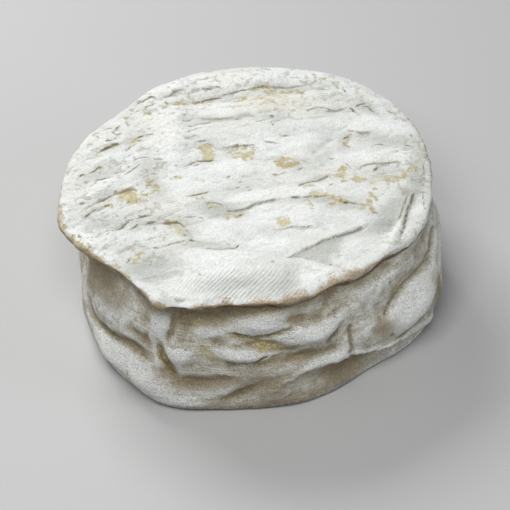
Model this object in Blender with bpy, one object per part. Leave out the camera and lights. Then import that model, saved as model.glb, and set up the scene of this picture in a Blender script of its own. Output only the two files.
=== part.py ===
"""Soft bloomy-rind cheese wheel, one uncut solid.

Metres, +Z up, resting on its flat underside at z = 0, the middle of its box on the Z axis.
Angles are measured from +X towards +Y, so the front of the wheel is at 270 degrees.
The wheel is turned from one profile whose radii swell and shrink around the wheel:
a rim that droops over the side, a waist under it, a belly, and a toe that meets the table.
Soft lumps and hollows of the rind are then raised and sunk along the surface normal.
"""
import bmesh
import bpy
import math
from mathutils import Vector

MM = 0.001

# Driving dimensions, in millimetres.
WHEEL_RADIUS = 58.5          # mean radius of the rim
WHEEL_HEIGHT = 45.0          # underside to the middle of the top
RIM_HEIGHT = 43.0            # height of the outermost line of the rim
RIM_ROUND = 5.0              # width of the rounded edge of the top face
TOP_SAG = 0.7                # how far the top face falls from its middle to the rounded edge
WAIST_HEIGHT = 29.0
BELLY_HEIGHT = 14.0
TOE_HEIGHT = 4.5
TOE_ROUND = 1.8              # width of the rounded edge under the toe

# Mesh size.
GRID = 30                    # cells along each side of the top grid; 4 * GRID columns around
SIDE_ROWS = 18
RELIEF_FADE = 0.16           # share of the side over which the relief of the top dies out

# Swells of each outline: centre in degrees, half-width in degrees, height in millimetres.
RIM_SWELLS = [
    (50.0, 34.0, 4.4),       # the rim leans out at the back right
    (100.0, 50.0, 1.2),
    (140.0, 22.0, -4.2),     # flattened back left
    (199.0, 12.0, 3.0),
    (229.0, 9.0, -0.9),
    (247.0, 10.0, 3.2),      # drooping corner of the front left
    (276.0, 14.0, -0.9),
    (301.0, 11.0, -3.2),     # flattened front right
    (319.0, 12.0, -3.4),
]
WAIST_RADIUS = 57.0
WAIST_SWELLS = [
    (54.0, 40.0, 3.0),
    (142.0, 22.0, -2.6),
    (188.0, 20.0, -5.2),     # undercut on the left
    (244.0, 12.0, 2.2),
    (306.0, 20.0, -1.8),
    (0.0, 20.0, 2.8),
]
BELLY_RADIUS = 59.3
BELLY_SWELLS = [
    (60.0, 40.0, 1.8),
    (142.0, 24.0, -2.0),
    (182.0, 22.0, -6.4),
    (244.0, 12.0, 2.2),
    (303.0, 15.0, -2.2),
    (343.0, 14.0, 3.8),      # full belly on the right
    (5.0, 20.0, 1.8),
]
TOE_RADIUS = 59.2
TOE_SWELLS = [
    (60.0, 40.0, 1.0),
    (142.0, 24.0, -1.6),
    (188.0, 27.0, -6.0),
    (246.0, 14.0, 3.9),      # the foot of the corner
    (312.0, 15.0, -2.6),
    (342.0, 16.0, 2.4),
]
# How far the side draws in just below the rim.
TUCK = 1.5
TUCK_SWELLS = [
    (224.0, 17.0, 3.0),
    (270.0, 24.0, 1.8),
    (312.0, 18.0, -0.9),
    (0.0, 22.0, -0.6),
]
# The edge is rounder at the back than at the front, where it is pressed out to a lip.
ROUND_SWELLS = [
    (262.0, 40.0, -1.8),
    (205.0, 18.0, -0.8),
]
# Rise and fall of the rim line.
RIM_LIFTS = [
    (90.0, 60.0, -1.1),
    (246.0, 10.0, -1.8),
    (272.0, 16.0, 0.4),
    (345.0, 22.0, -0.4),
    (205.0, 16.0, -1.2),
]

# Lumps and hollows of the side:
# angle in degrees, height, half-length around, half-height, tilt in degrees, depth.
SIDE_LUMPS = [
    (228.0, 25.0, 11.0, 8.5, 0.0, 0.9),      # belly left of the corner
    (246.0, 22.0, 2.6, 11.0, 12.0, -1.6),    # valley down the corner
    (222.0, 15.5, 15.0, 2.6, -8.0, -1.0),    # valley over the lower left roll
    (216.0, 8.0, 16.0, 5.0, -6.0, 1.1),      # lower left roll
    (276.0, 36.0, 8.5, 3.2, 0.0, 1.6),       # lump under the front rim
    (271.0, 30.0, 14.0, 2.6, -22.0, -1.7),   # valley slanting under that lump
    (290.0, 28.0, 8.5, 3.4, -14.0, 1.7),
    (266.0, 22.5, 8.5, 3.2, -4.0, 1.4),
    (286.0, 20.5, 10.5, 2.6, -4.0, -1.7),
    (301.0, 16.0, 10.0, 4.5, 0.0, 1.0),
    (253.0, 16.5, 6.0, 5.0, 0.0, 1.0),
    (280.0, 8.0, 13.0, 3.5, 6.0, -0.8),      # wrinkled hollow near the foot
    (304.0, 6.5, 15.0, 3.6, 6.0, -1.6),      # smooth recess over the foot
    (325.0, 27.0, 15.0, 3.2, 38.0, -1.6),    # long slanting valley on the right
    (331.0, 16.0, 14.0, 8.0, 16.0, 1.1),     # smooth full bulge on the right
    (352.0, 33.0, 10.0, 3.0, 10.0, -1.3),
    (12.0, 20.0, 14.0, 7.0, -10.0, 1.1),
    (20.0, 31.0, 14.0, 2.8, -8.0, -1.2),
    (38.0, 14.0, 9.0, 8.0, 20.0, -1.2),
    (56.0, 24.0, 14.0, 6.0, -12.0, 1.3),
    (72.0, 12.0, 12.0, 4.0, 10.0, -1.1),
    (88.0, 29.0, 9.0, 5.5, 30.0, -1.3),
    (98.0, 16.0, 12.0, 7.0, 0.0, 1.2),
    (122.0, 25.0, 12.0, 4.0, -24.0, -1.3),
    (128.0, 11.0, 13.0, 5.0, 8.0, 1.1),
    (146.0, 31.0, 9.0, 4.0, 10.0, 1.1),
    (156.0, 19.0, 8.0, 9.0, -20.0, -1.1),
    (172.0, 12.0, 12.0, 6.0, -6.0, 1.2),
    (184.0, 27.0, 10.0, 5.0, 14.0, -0.9),
]

# Soft ridges and troughs of the top: x, y, half-length, half-width, direction in degrees, height.
TOP_LUMPS = [
    (-8.0, 43.8, 26.0, 2.6, 13.0, -0.9),     # long trough near the back rim
    (-6.0, 50.0, 30.0, 4.0, 6.0, 0.6),
    (-22.0, 24.0, 15.0, 4.0, 92.0, 0.8),     # ridge running front to back
    (-8.0, 28.0, 16.0, 3.0, 8.0, -0.7),
    (26.0, 34.0, 14.0, 3.0, 6.0, -0.6),
    (2.0, 20.0, 20.0, 5.0, 6.0, 0.6),
    (23.0, 18.0, 10.0, 2.8, 62.0, -0.8),
    (-42.0, 18.0, 11.0, 2.8, 34.0, -0.6),
    (-44.0, -9.0, 12.0, 2.8, 22.0, -0.7),
    (-30.0, 2.0, 16.0, 4.0, 20.0, 0.6),
    (2.0, -14.5, 20.0, 2.8, 12.0, -0.9),     # long bent trough across the middle
    (2.0, -9.0, 18.0, 3.4, 10.0, 0.8),
    (-30.0, -22.0, 14.0, 3.0, 8.0, -0.6),
    (-12.0, -30.0, 14.0, 3.0, -14.0, -0.6),
    (27.0, -32.0, 14.0, 3.6, 33.0, -1.2),    # sunken side of the folded flap
    (24.0, -24.0, 12.0, 3.4, 30.0, 0.6),
    (49.0, -20.0, 13.0, 2.6, 68.0, -1.2),    # crease down the right side
    (38.0, 7.0, 14.0, 3.6, 14.0, -0.6),
    (40.0, 22.0, 12.0, 3.6, 0.0, -0.5),
    (-26.0, -43.0, 6.5, 5.0, 20.0, -0.9),    # thumb dent at the front left
    (-4.0, -47.0, 14.0, 6.0, 0.0, 0.5),
]


def lobe(angle, centre, half_width):
    """Smooth bump of height one around the wheel."""
    gap = (angle - centre + 180.0) % 360.0 - 180.0
    return math.exp(-(gap / half_width) ** 2)


def swell(angle, swells):
    return sum(height * lobe(angle, centre, width) for centre, width, height in swells)


def profile(angle):
    """Points (radius, height) down the side, from the edge of the top face to the table."""
    rim = WHEEL_RADIUS + swell(angle, RIM_SWELLS)
    waist = WAIST_RADIUS + swell(angle, WAIST_SWELLS)
    belly = BELLY_RADIUS + swell(angle, BELLY_SWELLS)
    toe = TOE_RADIUS + swell(angle, TOE_SWELLS)
    tuck = TUCK + swell(angle, TUCK_SWELLS)
    edge_round = RIM_ROUND + swell(angle, ROUND_SWELLS)
    lift = swell(angle, RIM_LIFTS)
    rim_z = RIM_HEIGHT + lift
    edge_z = WHEEL_HEIGHT - TOP_SAG + 0.4 * lift
    return [
        (rim - edge_round, edge_z),
        (rim - 0.30 * edge_round, 0.35 * edge_z + 0.65 * rim_z + 0.1 * edge_round),
        (rim, rim_z),
        (rim - 0.40 * tuck, rim_z - 1.9),
        (rim - tuck, rim_z - 4.6),
        (waist, WAIST_HEIGHT),
        (belly, BELLY_HEIGHT),
        (0.25 * belly + 0.75 * toe, TOE_HEIGHT),
        (toe - 0.15 * TOE_ROUND, 1.2),
        (toe - TOE_ROUND, 0.0),
    ]


def smooth_point(points, t):
    """Point of the cubic curve through the given points, t from 0 to 1."""
    last = len(points) - 1
    place = min(max(t, 0.0), 1.0) * last
    i = min(int(place), last - 1)
    f = place - i
    p0 = points[max(i - 1, 0)]
    p1 = points[i]
    p2 = points[i + 1]
    p3 = points[min(i + 2, last)]
    found = []
    for a, b, c, d in zip(p0, p1, p2, p3):
        square = (2 * a - 5 * b + 4 * c - d) * f ** 2
        cube = (3 * b - a - 3 * c + d) * f ** 3
        found.append(0.5 * (2 * b + (c - a) * f + square + cube))
    return found


def even_steps(points, rows):
    """Values of t that divide the curve into rows of equal length."""
    fine = 400
    walk = [0.0]
    before = smooth_point(points, 0.0)
    for k in range(1, fine + 1):
        here = smooth_point(points, k / fine)
        walk.append(walk[-1] + math.dist(before, here))
        before = here
    steps = []
    k = 0
    for row in range(rows + 1):
        target = walk[-1] * row / rows
        while k < fine and walk[k + 1] < target:
            k += 1
        span = walk[min(k + 1, fine)] - walk[k]
        part = (target - walk[k]) / span if span > 0 else 0.0
        steps.append(min((k + part) / fine, 1.0))
    return steps


def ellipse_lump(across, along, half_across, half_along, tilt):
    """Soft elliptical bump of height one, tilted in its own plane."""
    c = math.cos(math.radians(tilt))
    s = math.sin(math.radians(tilt))
    u = (c * across + s * along) / half_across
    v = (c * along - s * across) / half_along
    return math.exp(-(u * u + v * v))


def side_relief(angle, z):
    total = 0.0
    for centre, height, half_arc, half_height, tilt, depth in SIDE_LUMPS:
        gap = (angle - centre + 180.0) % 360.0 - 180.0
        arc = math.radians(gap) * WHEEL_RADIUS
        total += depth * ellipse_lump(arc, z - height, half_arc, half_height, tilt)
    foot = min(z / 3.0, 1.0)
    return total * foot


def top_height(x, y):
    """Height of the top face."""
    far = min(math.hypot(x, y) / (WHEEL_RADIUS - RIM_ROUND), 1.0)
    relief = 0.0
    for cx, cy, half_length, half_width, direction, height in TOP_LUMPS:
        relief += height * ellipse_lump(x - cx, y - cy, half_length, half_width, direction)
    return WHEEL_HEIGHT - TOP_SAG * far ** 4 + relief * (1.0 - 0.6 * far ** 10)


def disc_point(i, j):
    """Grid cell corner (i, j) moved onto the unit disc: (share of the radius, angle in degrees)."""
    a = 2.0 * i / GRID - 1.0
    b = 2.0 * j / GRID - 1.0
    if a == 0.0 and b == 0.0:
        return 0.0, 0.0
    if abs(a) > abs(b):
        share = abs(a)
        turn = 45.0 * b / a + (0.0 if a > 0 else 180.0)
    else:
        share = abs(b)
        turn = 90.0 - 45.0 * a / b + (0.0 if b > 0 else 180.0)
    return share, turn % 360.0


def rim_loop():
    """Grid corners around the edge, anticlockwise from (GRID, 0)."""
    loop = [(GRID, j) for j in range(GRID)]
    loop += [(GRID - i, GRID) for i in range(GRID)]
    loop += [(0, GRID - j) for j in range(GRID)]
    loop += [(i, 0) for i in range(GRID)]
    return loop


def make_top(bm, edges):
    """Grid of the top face on the disc inside the rounded edge."""
    top = {}
    for i in range(GRID + 1):
        for j in range(GRID + 1):
            share, angle = disc_point(i, j)
            if (i, j) in edges:
                edge_r, edge_z = edges[i, j][0]
            else:
                edge_r, edge_z = profile(angle)[0]
            x = share * edge_r * math.cos(math.radians(angle))
            y = share * edge_r * math.sin(math.radians(angle))
            # the outer rings follow the rise and fall of the rim
            lift = edge_z - (WHEEL_HEIGHT - TOP_SAG)
            top[i, j] = bm.verts.new((x, y, top_height(x, y) + lift * share ** 6))
    for i in range(GRID):
        for j in range(GRID):
            bm.faces.new((top[i, j], top[i + 1, j], top[i + 1, j + 1], top[i, j + 1]))
    return top


def side_point(points, angle, t):
    """Point of the side, with its lumps and hollows, as (radius, height)."""
    r, z = smooth_point(points, t)
    r_above, z_above = smooth_point(points, t - 0.01)
    r_below, z_below = smooth_point(points, t + 0.01)
    slope = Vector((r_below - r_above, z_below - z_above)).normalized()
    push = side_relief(angle, z)
    # the first rows still carry the relief of the top face
    cos_a = math.cos(math.radians(angle))
    sin_a = math.sin(math.radians(angle))
    edge_relief = top_height(points[0][0] * cos_a, points[0][0] * sin_a) - (WHEEL_HEIGHT - TOP_SAG)
    r -= slope.y * push
    z += slope.x * push + edge_relief * math.exp(-(t / RELIEF_FADE) ** 2)
    return r, max(z, 0.0)


def build_mesh():
    bm = bmesh.new()
    loop = rim_loop()
    angles = [disc_point(*key)[1] for key in loop]
    profiles = [profile(angle) for angle in angles]
    top = make_top(bm, dict(zip(loop, profiles)))

    count = len(loop)
    mean_profile = []
    for k in range(len(profiles[0])):
        mean_profile.append(tuple(sum(points[k][c] for points in profiles) / count for c in (0, 1)))
    steps = even_steps(mean_profile, SIDE_ROWS)

    ring = [top[key] for key in loop]
    for t in steps[1:]:
        below = []
        for points, angle in zip(profiles, angles):
            r, z = side_point(points, angle, t)
            if t == steps[-1]:
                r, z = points[-1]
            x = r * math.cos(math.radians(angle))
            y = r * math.sin(math.radians(angle))
            below.append(bm.verts.new((x, y, z)))
        for k in range(count):
            n = (k + 1) % count
            bm.faces.new((ring[k], below[k], below[n], ring[n]))
        ring = below

    middle = bm.verts.new((0.0, 0.0, 0.0))
    for k in range(count):
        bm.faces.new((ring[k], middle, ring[(k + 1) % count]))

    # the middle of the box goes onto the Z axis
    xs = [v.co.x for v in bm.verts]
    ys = [v.co.y for v in bm.verts]
    shift = Vector((-(min(xs) + max(xs)) / 2, -(min(ys) + max(ys)) / 2, 0.0))
    for v in bm.verts:
        v.co = (v.co + shift) * MM
    bmesh.ops.triangulate(bm, faces=[f for f in bm.faces if len(f.verts) > 3])
    bmesh.ops.recalc_face_normals(bm, faces=bm.faces)
    mesh = bpy.data.meshes.new("cheese_wheel")
    bm.to_mesh(mesh)
    bm.free()
    for poly in mesh.polygons:
        poly.use_smooth = True
    return mesh


def rind_material():
    material = bpy.data.materials.new("bloomy_rind")
    material.use_nodes = True
    shader = material.node_tree.nodes["Principled BSDF"]
    shader.inputs["Base Color"].default_value = (0.72, 0.70, 0.62, 1.0)
    shader.inputs["Roughness"].default_value = 0.85
    return material


for old in list(bpy.data.objects):
    bpy.data.objects.remove(old, do_unlink=True)

collection = bpy.data.collections.new("cheese_wheel")
bpy.context.scene.collection.children.link(collection)
wheel = bpy.data.objects.new("cheese_wheel", build_mesh())
wheel.data.materials.append(rind_material())
collection.objects.link(wheel)
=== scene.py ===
"""Looks of a small soft bloomy-rind cheese wheel.

One fine mesh stands for the solid: the same turned and slumped form, with the folds, creases and
lumps of the rind raised and sunk along its surface, and a procedural rind material that is painted
by masks kept on the mesh. Lengths are in millimetres until the mesh is made. Angles are in degrees
from +X towards +Y, so the front of the wheel is at 270.
"""

import math

import bpy
import numpy as np
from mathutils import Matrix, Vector


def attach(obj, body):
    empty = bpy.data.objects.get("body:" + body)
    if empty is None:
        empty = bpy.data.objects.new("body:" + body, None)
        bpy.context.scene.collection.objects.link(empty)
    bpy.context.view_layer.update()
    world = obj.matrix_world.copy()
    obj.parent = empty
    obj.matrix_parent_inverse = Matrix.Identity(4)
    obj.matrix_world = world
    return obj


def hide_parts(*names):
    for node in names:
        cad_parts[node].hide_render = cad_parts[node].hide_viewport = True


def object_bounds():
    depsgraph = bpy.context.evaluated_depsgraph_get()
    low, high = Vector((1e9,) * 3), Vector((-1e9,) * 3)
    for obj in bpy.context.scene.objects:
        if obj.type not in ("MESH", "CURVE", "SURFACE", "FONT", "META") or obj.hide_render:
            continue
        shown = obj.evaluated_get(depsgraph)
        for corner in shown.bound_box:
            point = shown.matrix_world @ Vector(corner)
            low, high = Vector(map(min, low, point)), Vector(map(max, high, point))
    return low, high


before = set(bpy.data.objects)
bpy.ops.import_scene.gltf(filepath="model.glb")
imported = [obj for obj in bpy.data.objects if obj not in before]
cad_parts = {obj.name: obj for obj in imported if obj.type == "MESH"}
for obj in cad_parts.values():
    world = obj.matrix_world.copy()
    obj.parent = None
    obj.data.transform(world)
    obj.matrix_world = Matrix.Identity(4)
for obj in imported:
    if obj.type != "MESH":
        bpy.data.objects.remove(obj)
CAD_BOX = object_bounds()

NODE = "cheese_wheel"
MM = 0.001

# ---------------------------------------------------------------------------------------
# The form: the same sizes as the solid's
# ---------------------------------------------------------------------------------------

WHEEL_RADIUS = 58.5
WHEEL_HEIGHT = 45.0
RIM_HEIGHT = 43.0
RIM_ROUND = 5.0
TOP_SAG = 0.7
WAIST_HEIGHT = 29.0
BELLY_HEIGHT = 14.0
TOE_HEIGHT = 4.5
TOE_ROUND = 1.8

# centre in degrees, half-width in degrees, height in millimetres
RIM_SWELLS = [
    (50, 34, 4.4), (100, 50, 1.2), (140, 22, -4.2), (199, 12, 3.0), (229, 9, -0.9),
    (247, 10, 3.2), (276, 14, -0.9), (301, 11, -3.2), (319, 12, -3.4),
]
WAIST_RADIUS = 57.0
WAIST_SWELLS = [
    (54, 40, 3.0), (142, 22, -2.6), (188, 20, -5.2), (244, 12, 2.2), (306, 20, -1.8), (0, 20, 2.8),
]
BELLY_RADIUS = 59.3
BELLY_SWELLS = [
    (60, 40, 1.8), (142, 24, -2.0), (182, 22, -6.4), (244, 12, 2.2), (303, 15, -2.2),
    (343, 14, 3.8), (5, 20, 1.8),
]
TOE_RADIUS = 59.2
TOE_SWELLS = [
    (60, 40, 1.0), (142, 24, -1.6), (188, 27, -6.0), (246, 14, 3.9), (312, 15, -2.6), (342, 16, 2.4),
]
TUCK = 1.5
TUCK_SWELLS = [(224, 17, 3.0), (270, 24, 1.8), (312, 18, -0.9), (0, 22, -0.6)]
ROUND_SWELLS = [(262, 40, -1.8), (205, 18, -0.8)]
RIM_LIFTS = [(90, 60, -1.1), (246, 10, -1.8), (272, 16, 0.4), (345, 22, -0.4), (205, 16, -1.2)]


def swell(angle, swells):
    total = np.zeros_like(angle)
    for centre, half_width, height in swells:
        gap = (angle - centre + 180.0) % 360.0 - 180.0
        total += height * np.exp(-(gap / half_width) ** 2)
    return total


def profile(angle):
    """(n, 10, 2) points, radius and height, down the side at each angle."""
    rim = WHEEL_RADIUS + swell(angle, RIM_SWELLS)
    waist = WAIST_RADIUS + swell(angle, WAIST_SWELLS)
    belly = BELLY_RADIUS + swell(angle, BELLY_SWELLS)
    toe = TOE_RADIUS + swell(angle, TOE_SWELLS)
    tuck = TUCK + swell(angle, TUCK_SWELLS)
    edge_round = RIM_ROUND + swell(angle, ROUND_SWELLS)
    lift = swell(angle, RIM_LIFTS)
    rim_z = RIM_HEIGHT + lift
    edge_z = WHEEL_HEIGHT - TOP_SAG + 0.4 * lift
    level = np.ones_like(angle)
    points = [
        (rim - edge_round, edge_z),
        (rim - 0.30 * edge_round, 0.35 * edge_z + 0.65 * rim_z + 0.1 * edge_round),
        (rim, rim_z),
        (rim - 0.40 * tuck, rim_z - 1.9),
        (rim - tuck, rim_z - 4.6),
        (waist, WAIST_HEIGHT * level),
        (belly, BELLY_HEIGHT * level),
        (0.25 * belly + 0.75 * toe, TOE_HEIGHT * level),
        (toe - 0.15 * TOE_ROUND, 1.2 * level),
        (toe - TOE_ROUND, 0.0 * level),
    ]
    return np.stack([np.stack(p, -1) for p in points], 1)


def along(points, t):
    """Points of the smooth curves through each row of points, at the shares t of their length."""
    last = points.shape[1] - 1
    place = np.clip(t, 0.0, 1.0) * last
    i = np.minimum(place.astype(int), last - 1)
    f = (place - i)[None, :, None]
    a = points[:, np.maximum(i - 1, 0)]
    b = points[:, i]
    c = points[:, i + 1]
    d = points[:, np.minimum(i + 2, last)]
    square = (2 * a - 5 * b + 4 * c - d) * f ** 2
    cube = (3 * b - a - 3 * c + d) * f ** 3
    return 0.5 * (2 * b + (c - a) * f + square + cube)


# ---------------------------------------------------------------------------------------
# The mesh: a square grid bent to a disc on top, rows down the side, a coarse disc beneath
# ---------------------------------------------------------------------------------------

GRID = 240                   # cells across the top; 4 * GRID columns around the rim
LIP_ROWS = 8                 # rows at full density round the edge
LIP_END = 0.27               # share of the side's curve where they end
SIDE_ROWS = 60               # rows below them, at half the columns
BASE_GRID = 40               # cells across the underside


def disc_grid(n):
    """Share of the radius and angle of each corner of an n by n grid bent to a disc."""
    i, j = np.meshgrid(np.arange(n + 1), np.arange(n + 1), indexing="ij")
    a = 2.0 * i / n - 1.0
    b = 2.0 * j / n - 1.0
    share = np.maximum(abs(a), abs(b))
    wide = abs(a) > abs(b)
    safe_a = np.where(a == 0, 1.0, a)
    safe_b = np.where(b == 0, 1.0, b)
    turn_a = 45.0 * b / safe_a + np.where(a > 0, 0.0, 180.0)
    turn_b = 90.0 - 45.0 * a / safe_b + np.where(b > 0, 0.0, 180.0)
    turn = np.where(wide, turn_a, turn_b) % 360.0
    return share.ravel(), np.where(share > 0, turn, 0.0).ravel()


def edge_loop(n):
    """Corners round the edge of the grid, anticlockwise from the corner at (n, 0)."""
    k = np.arange(n)
    i = np.concatenate([np.full(n, n), n - k, np.zeros(n, int), k])
    j = np.concatenate([k, np.full(n, n), n - k, np.zeros(n, int)])
    return i * (n + 1) + j


def grid_quads(n, first, flip=False):
    i, j = np.meshgrid(np.arange(n), np.arange(n), indexing="ij")
    a = first + (i * (n + 1) + j).ravel()
    quads = np.stack([a, a + n + 1, a + n + 2, a + 1], -1)
    return quads[:, ::-1] if flip else quads


def ring_quads(upper, lower):
    up_next = np.roll(upper, -1)
    low_next = np.roll(lower, -1)
    return np.stack([upper, lower, low_next, up_next], -1)


def even_steps(points, start, end, rows):
    """Shares of the curve from start to end that make rows of equal length."""
    t = np.linspace(start, end, 400)
    mean = along(points, t).mean(0)
    walk = np.concatenate([[0.0], np.cumsum(np.hypot(*np.diff(mean, axis=0).T))])
    return np.interp(np.linspace(0, walk[-1], rows + 1), walk, t)


def build_form():
    """Corners, faces and what each corner knows about its place: angle, share of the side."""
    share, angle = disc_grid(GRID)
    edge = profile(angle)[:, 0]
    radius = share * edge[:, 0]
    lift = edge[:, 1] - (WHEEL_HEIGHT - TOP_SAG)
    z = WHEEL_HEIGHT - TOP_SAG * share ** 4 + lift * share ** 6
    turn = np.radians(angle)
    places = [np.stack([radius * np.cos(turn), radius * np.sin(turn), z], -1)]
    angles = [angle]
    downs = [np.zeros_like(angle)]
    faces = [grid_quads(GRID, 0)]
    count = len(angle)

    loop = edge_loop(GRID)
    rim_angle = angle[loop]
    points = profile(rim_angle)
    ring = loop
    ring_angle = rim_angle

    def add_ring(ring_points, ring_angles, t):
        nonlocal count
        rz = along(ring_points, np.array([t]))[:, 0]
        turn = np.radians(ring_angles)
        places.append(np.stack([rz[:, 0] * np.cos(turn), rz[:, 0] * np.sin(turn), rz[:, 1]], -1))
        angles.append(ring_angles)
        downs.append(np.full_like(ring_angles, t))
        made = np.arange(count, count + len(ring_angles))
        count += len(ring_angles)
        return made

    for t in even_steps(points, 0.0, LIP_END, LIP_ROWS)[1:]:
        below = add_ring(points, ring_angle, t)
        faces.append(ring_quads(ring, below))
        ring = below

    # every second column goes on below the lip
    triangles = []
    steps = even_steps(points, LIP_END, 1.0, SIDE_ROWS)
    half_angle = ring_angle[::2]
    half_points = points[::2]
    below = add_ring(half_points, half_angle, steps[1])
    here = ring[0::2]
    between = ring[1::2]
    after = np.roll(here, -1)
    below_after = np.roll(below, -1)
    triangles.append(np.stack([here, below, between], -1))
    triangles.append(np.stack([between, below, below_after], -1))
    triangles.append(np.stack([between, below_after, after], -1))
    ring = below
    for t in steps[2:]:
        below = add_ring(half_points, half_angle, t)
        faces.append(ring_quads(ring, below))
        ring = below

    # the underside: each cell edge of its disc meets three side columns
    share, angle = disc_grid(BASE_GRID)
    toe = profile(angle)[:, -1, 0]
    turn = np.radians(angle)
    radius = share * (toe - 2.5)
    places.append(np.stack([radius * np.cos(turn), radius * np.sin(turn), np.zeros_like(turn)], -1))
    angles.append(angle)
    downs.append(np.full_like(angle, 2.0))
    faces.append(grid_quads(BASE_GRID, count, flip=True))
    inner = edge_loop(BASE_GRID) + count
    count += len(angle)
    step = len(ring) // len(inner)
    many = []
    for k in range(len(inner)):
        outer = [ring[(k * step + m) % len(ring)] for m in range(step + 1)]
        many.append(outer[:1] + [inner[k], inner[(k + 1) % len(inner)]] + outer[:0:-1])

    place = np.concatenate(places)
    place[:, 2] = np.maximum(place[:, 2], 0.0)
    return place, np.concatenate(angles), np.concatenate(downs), faces, triangles, many


def corner_normals(place, faces, triangles):
    """Unit normals at the corners, from the faces round them."""
    total = np.zeros_like(place)
    for group in faces + triangles:
        p = place[group]
        across = p[:, 2] - p[:, 0]
        back = (p[:, 3] - p[:, 1]) if group.shape[1] == 4 else (p[:, 2] - p[:, 1])
        n = np.cross(across, back)
        for k in range(group.shape[1]):
            for c in range(3):
                total[:, c] += np.bincount(group[:, k], n[:, c], len(place))
    length = np.linalg.norm(total, axis=1, keepdims=True)
    return total / np.maximum(length, 1e-9)


def blurred(value, faces, triangles, rounds):
    """Value averaged with the neighbours', rounds times."""
    pairs = []
    for group in faces + triangles:
        m = group.shape[1]
        for k in range(m):
            pairs.append(group[:, [k, (k + 1) % m]])
    pairs = np.concatenate(pairs)
    a, b = pairs[:, 0], pairs[:, 1]
    many = np.bincount(a, minlength=len(value)) + np.bincount(b, minlength=len(value))
    many = np.maximum(many, 1)
    for _ in range(rounds):
        around = np.bincount(a, value[b], len(value)) + np.bincount(b, value[a], len(value))
        value = 0.5 * value + 0.5 * around / many
    return value


# ---------------------------------------------------------------------------------------
# Noise, strokes and lumps
# ---------------------------------------------------------------------------------------


def lattice(i, j, k, seed):
    """Repeatable value from -1 to 1 for each lattice point."""
    h = (i * 374761393 + j * 668265263 + k * 2147483647 + seed * 1274126177) & 0xFFFFFFFF
    h = ((h ^ (h >> 13)) * 1103515245) & 0xFFFFFFFF
    h = h ^ (h >> 16)
    return (h & 0xFFFF) / 32767.5 - 1.0


def noise(p, seed):
    """Smooth value noise of the points, one unit per cell."""
    base = np.floor(p).astype(np.int64)
    f = p - base
    f = f * f * f * (f * (f * 6 - 15) + 10)
    total = 0.0
    for di in (0, 1):
        for dj in (0, 1):
            for dk in (0, 1):
                w = (np.where(di, f[:, 0], 1 - f[:, 0]) * np.where(dj, f[:, 1], 1 - f[:, 1])
                     * np.where(dk, f[:, 2], 1 - f[:, 2]))
                total = total + w * lattice(base[:, 0] + di, base[:, 1] + dj, base[:, 2] + dk, seed)
    return total


def layered(p, seed, layers=3, gain=0.5):
    total = 0.0
    size = 1.0
    for n in range(layers):
        total = total + size * noise(p * 2.0 ** n + 17.3 * n, seed + n)
        size *= gain
    return total


def smooth(low, high, value):
    t = np.clip((value - low) / (high - low), 0.0, 1.0)
    return t * t * (3.0 - 2.0 * t)


def rounded(path, parts=6):
    """Path with its corners rounded, as a smooth curve through its points."""
    p = np.array(path, float)
    if len(p) < 3:
        return p
    t = np.linspace(0.0, 1.0, parts * (len(p) - 1) + 1)
    return along(p[None], t)[0]


def stroke(u, v, path):
    """Distance in millimetres from the points to a path, and how far they are from its ends."""
    path = rounded(path)
    best = np.full(len(u), 1e6)
    side = np.ones(len(u))
    walked = np.zeros(len(u))
    before = 0.0
    for (x0, y0), (x1, y1) in zip(path[:-1], path[1:]):
        dx, dy = x1 - x0, y1 - y0
        length = math.hypot(dx, dy)
        if length == 0:
            continue
        s = np.clip(((u - x0) * dx + (v - y0) * dy) / length ** 2, 0.0, 1.0)
        gap = np.hypot(u - x0 - s * dx, v - y0 - s * dy)
        near = gap < best
        best = np.where(near, gap, best)
        cross = (dx * (v - y0) - dy * (u - x0)) / length
        side = np.where(near, np.sign(cross), side)
        walked = np.where(near, before + s * length, walked)
        before += length
    end_gap = np.minimum(walked, before - walked)
    return best, side, end_gap, before


def near_path(u, v, path, reach):
    p = np.array(path, float)
    low = p.min(0) - reach
    high = p.max(0) + reach
    return np.nonzero((u > low[0]) & (u < high[0]) & (v > low[1]) & (v < high[1]))[0]


MARK_REACH = 1.6             # millimetres over which a mark's distance is kept on the mesh


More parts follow.
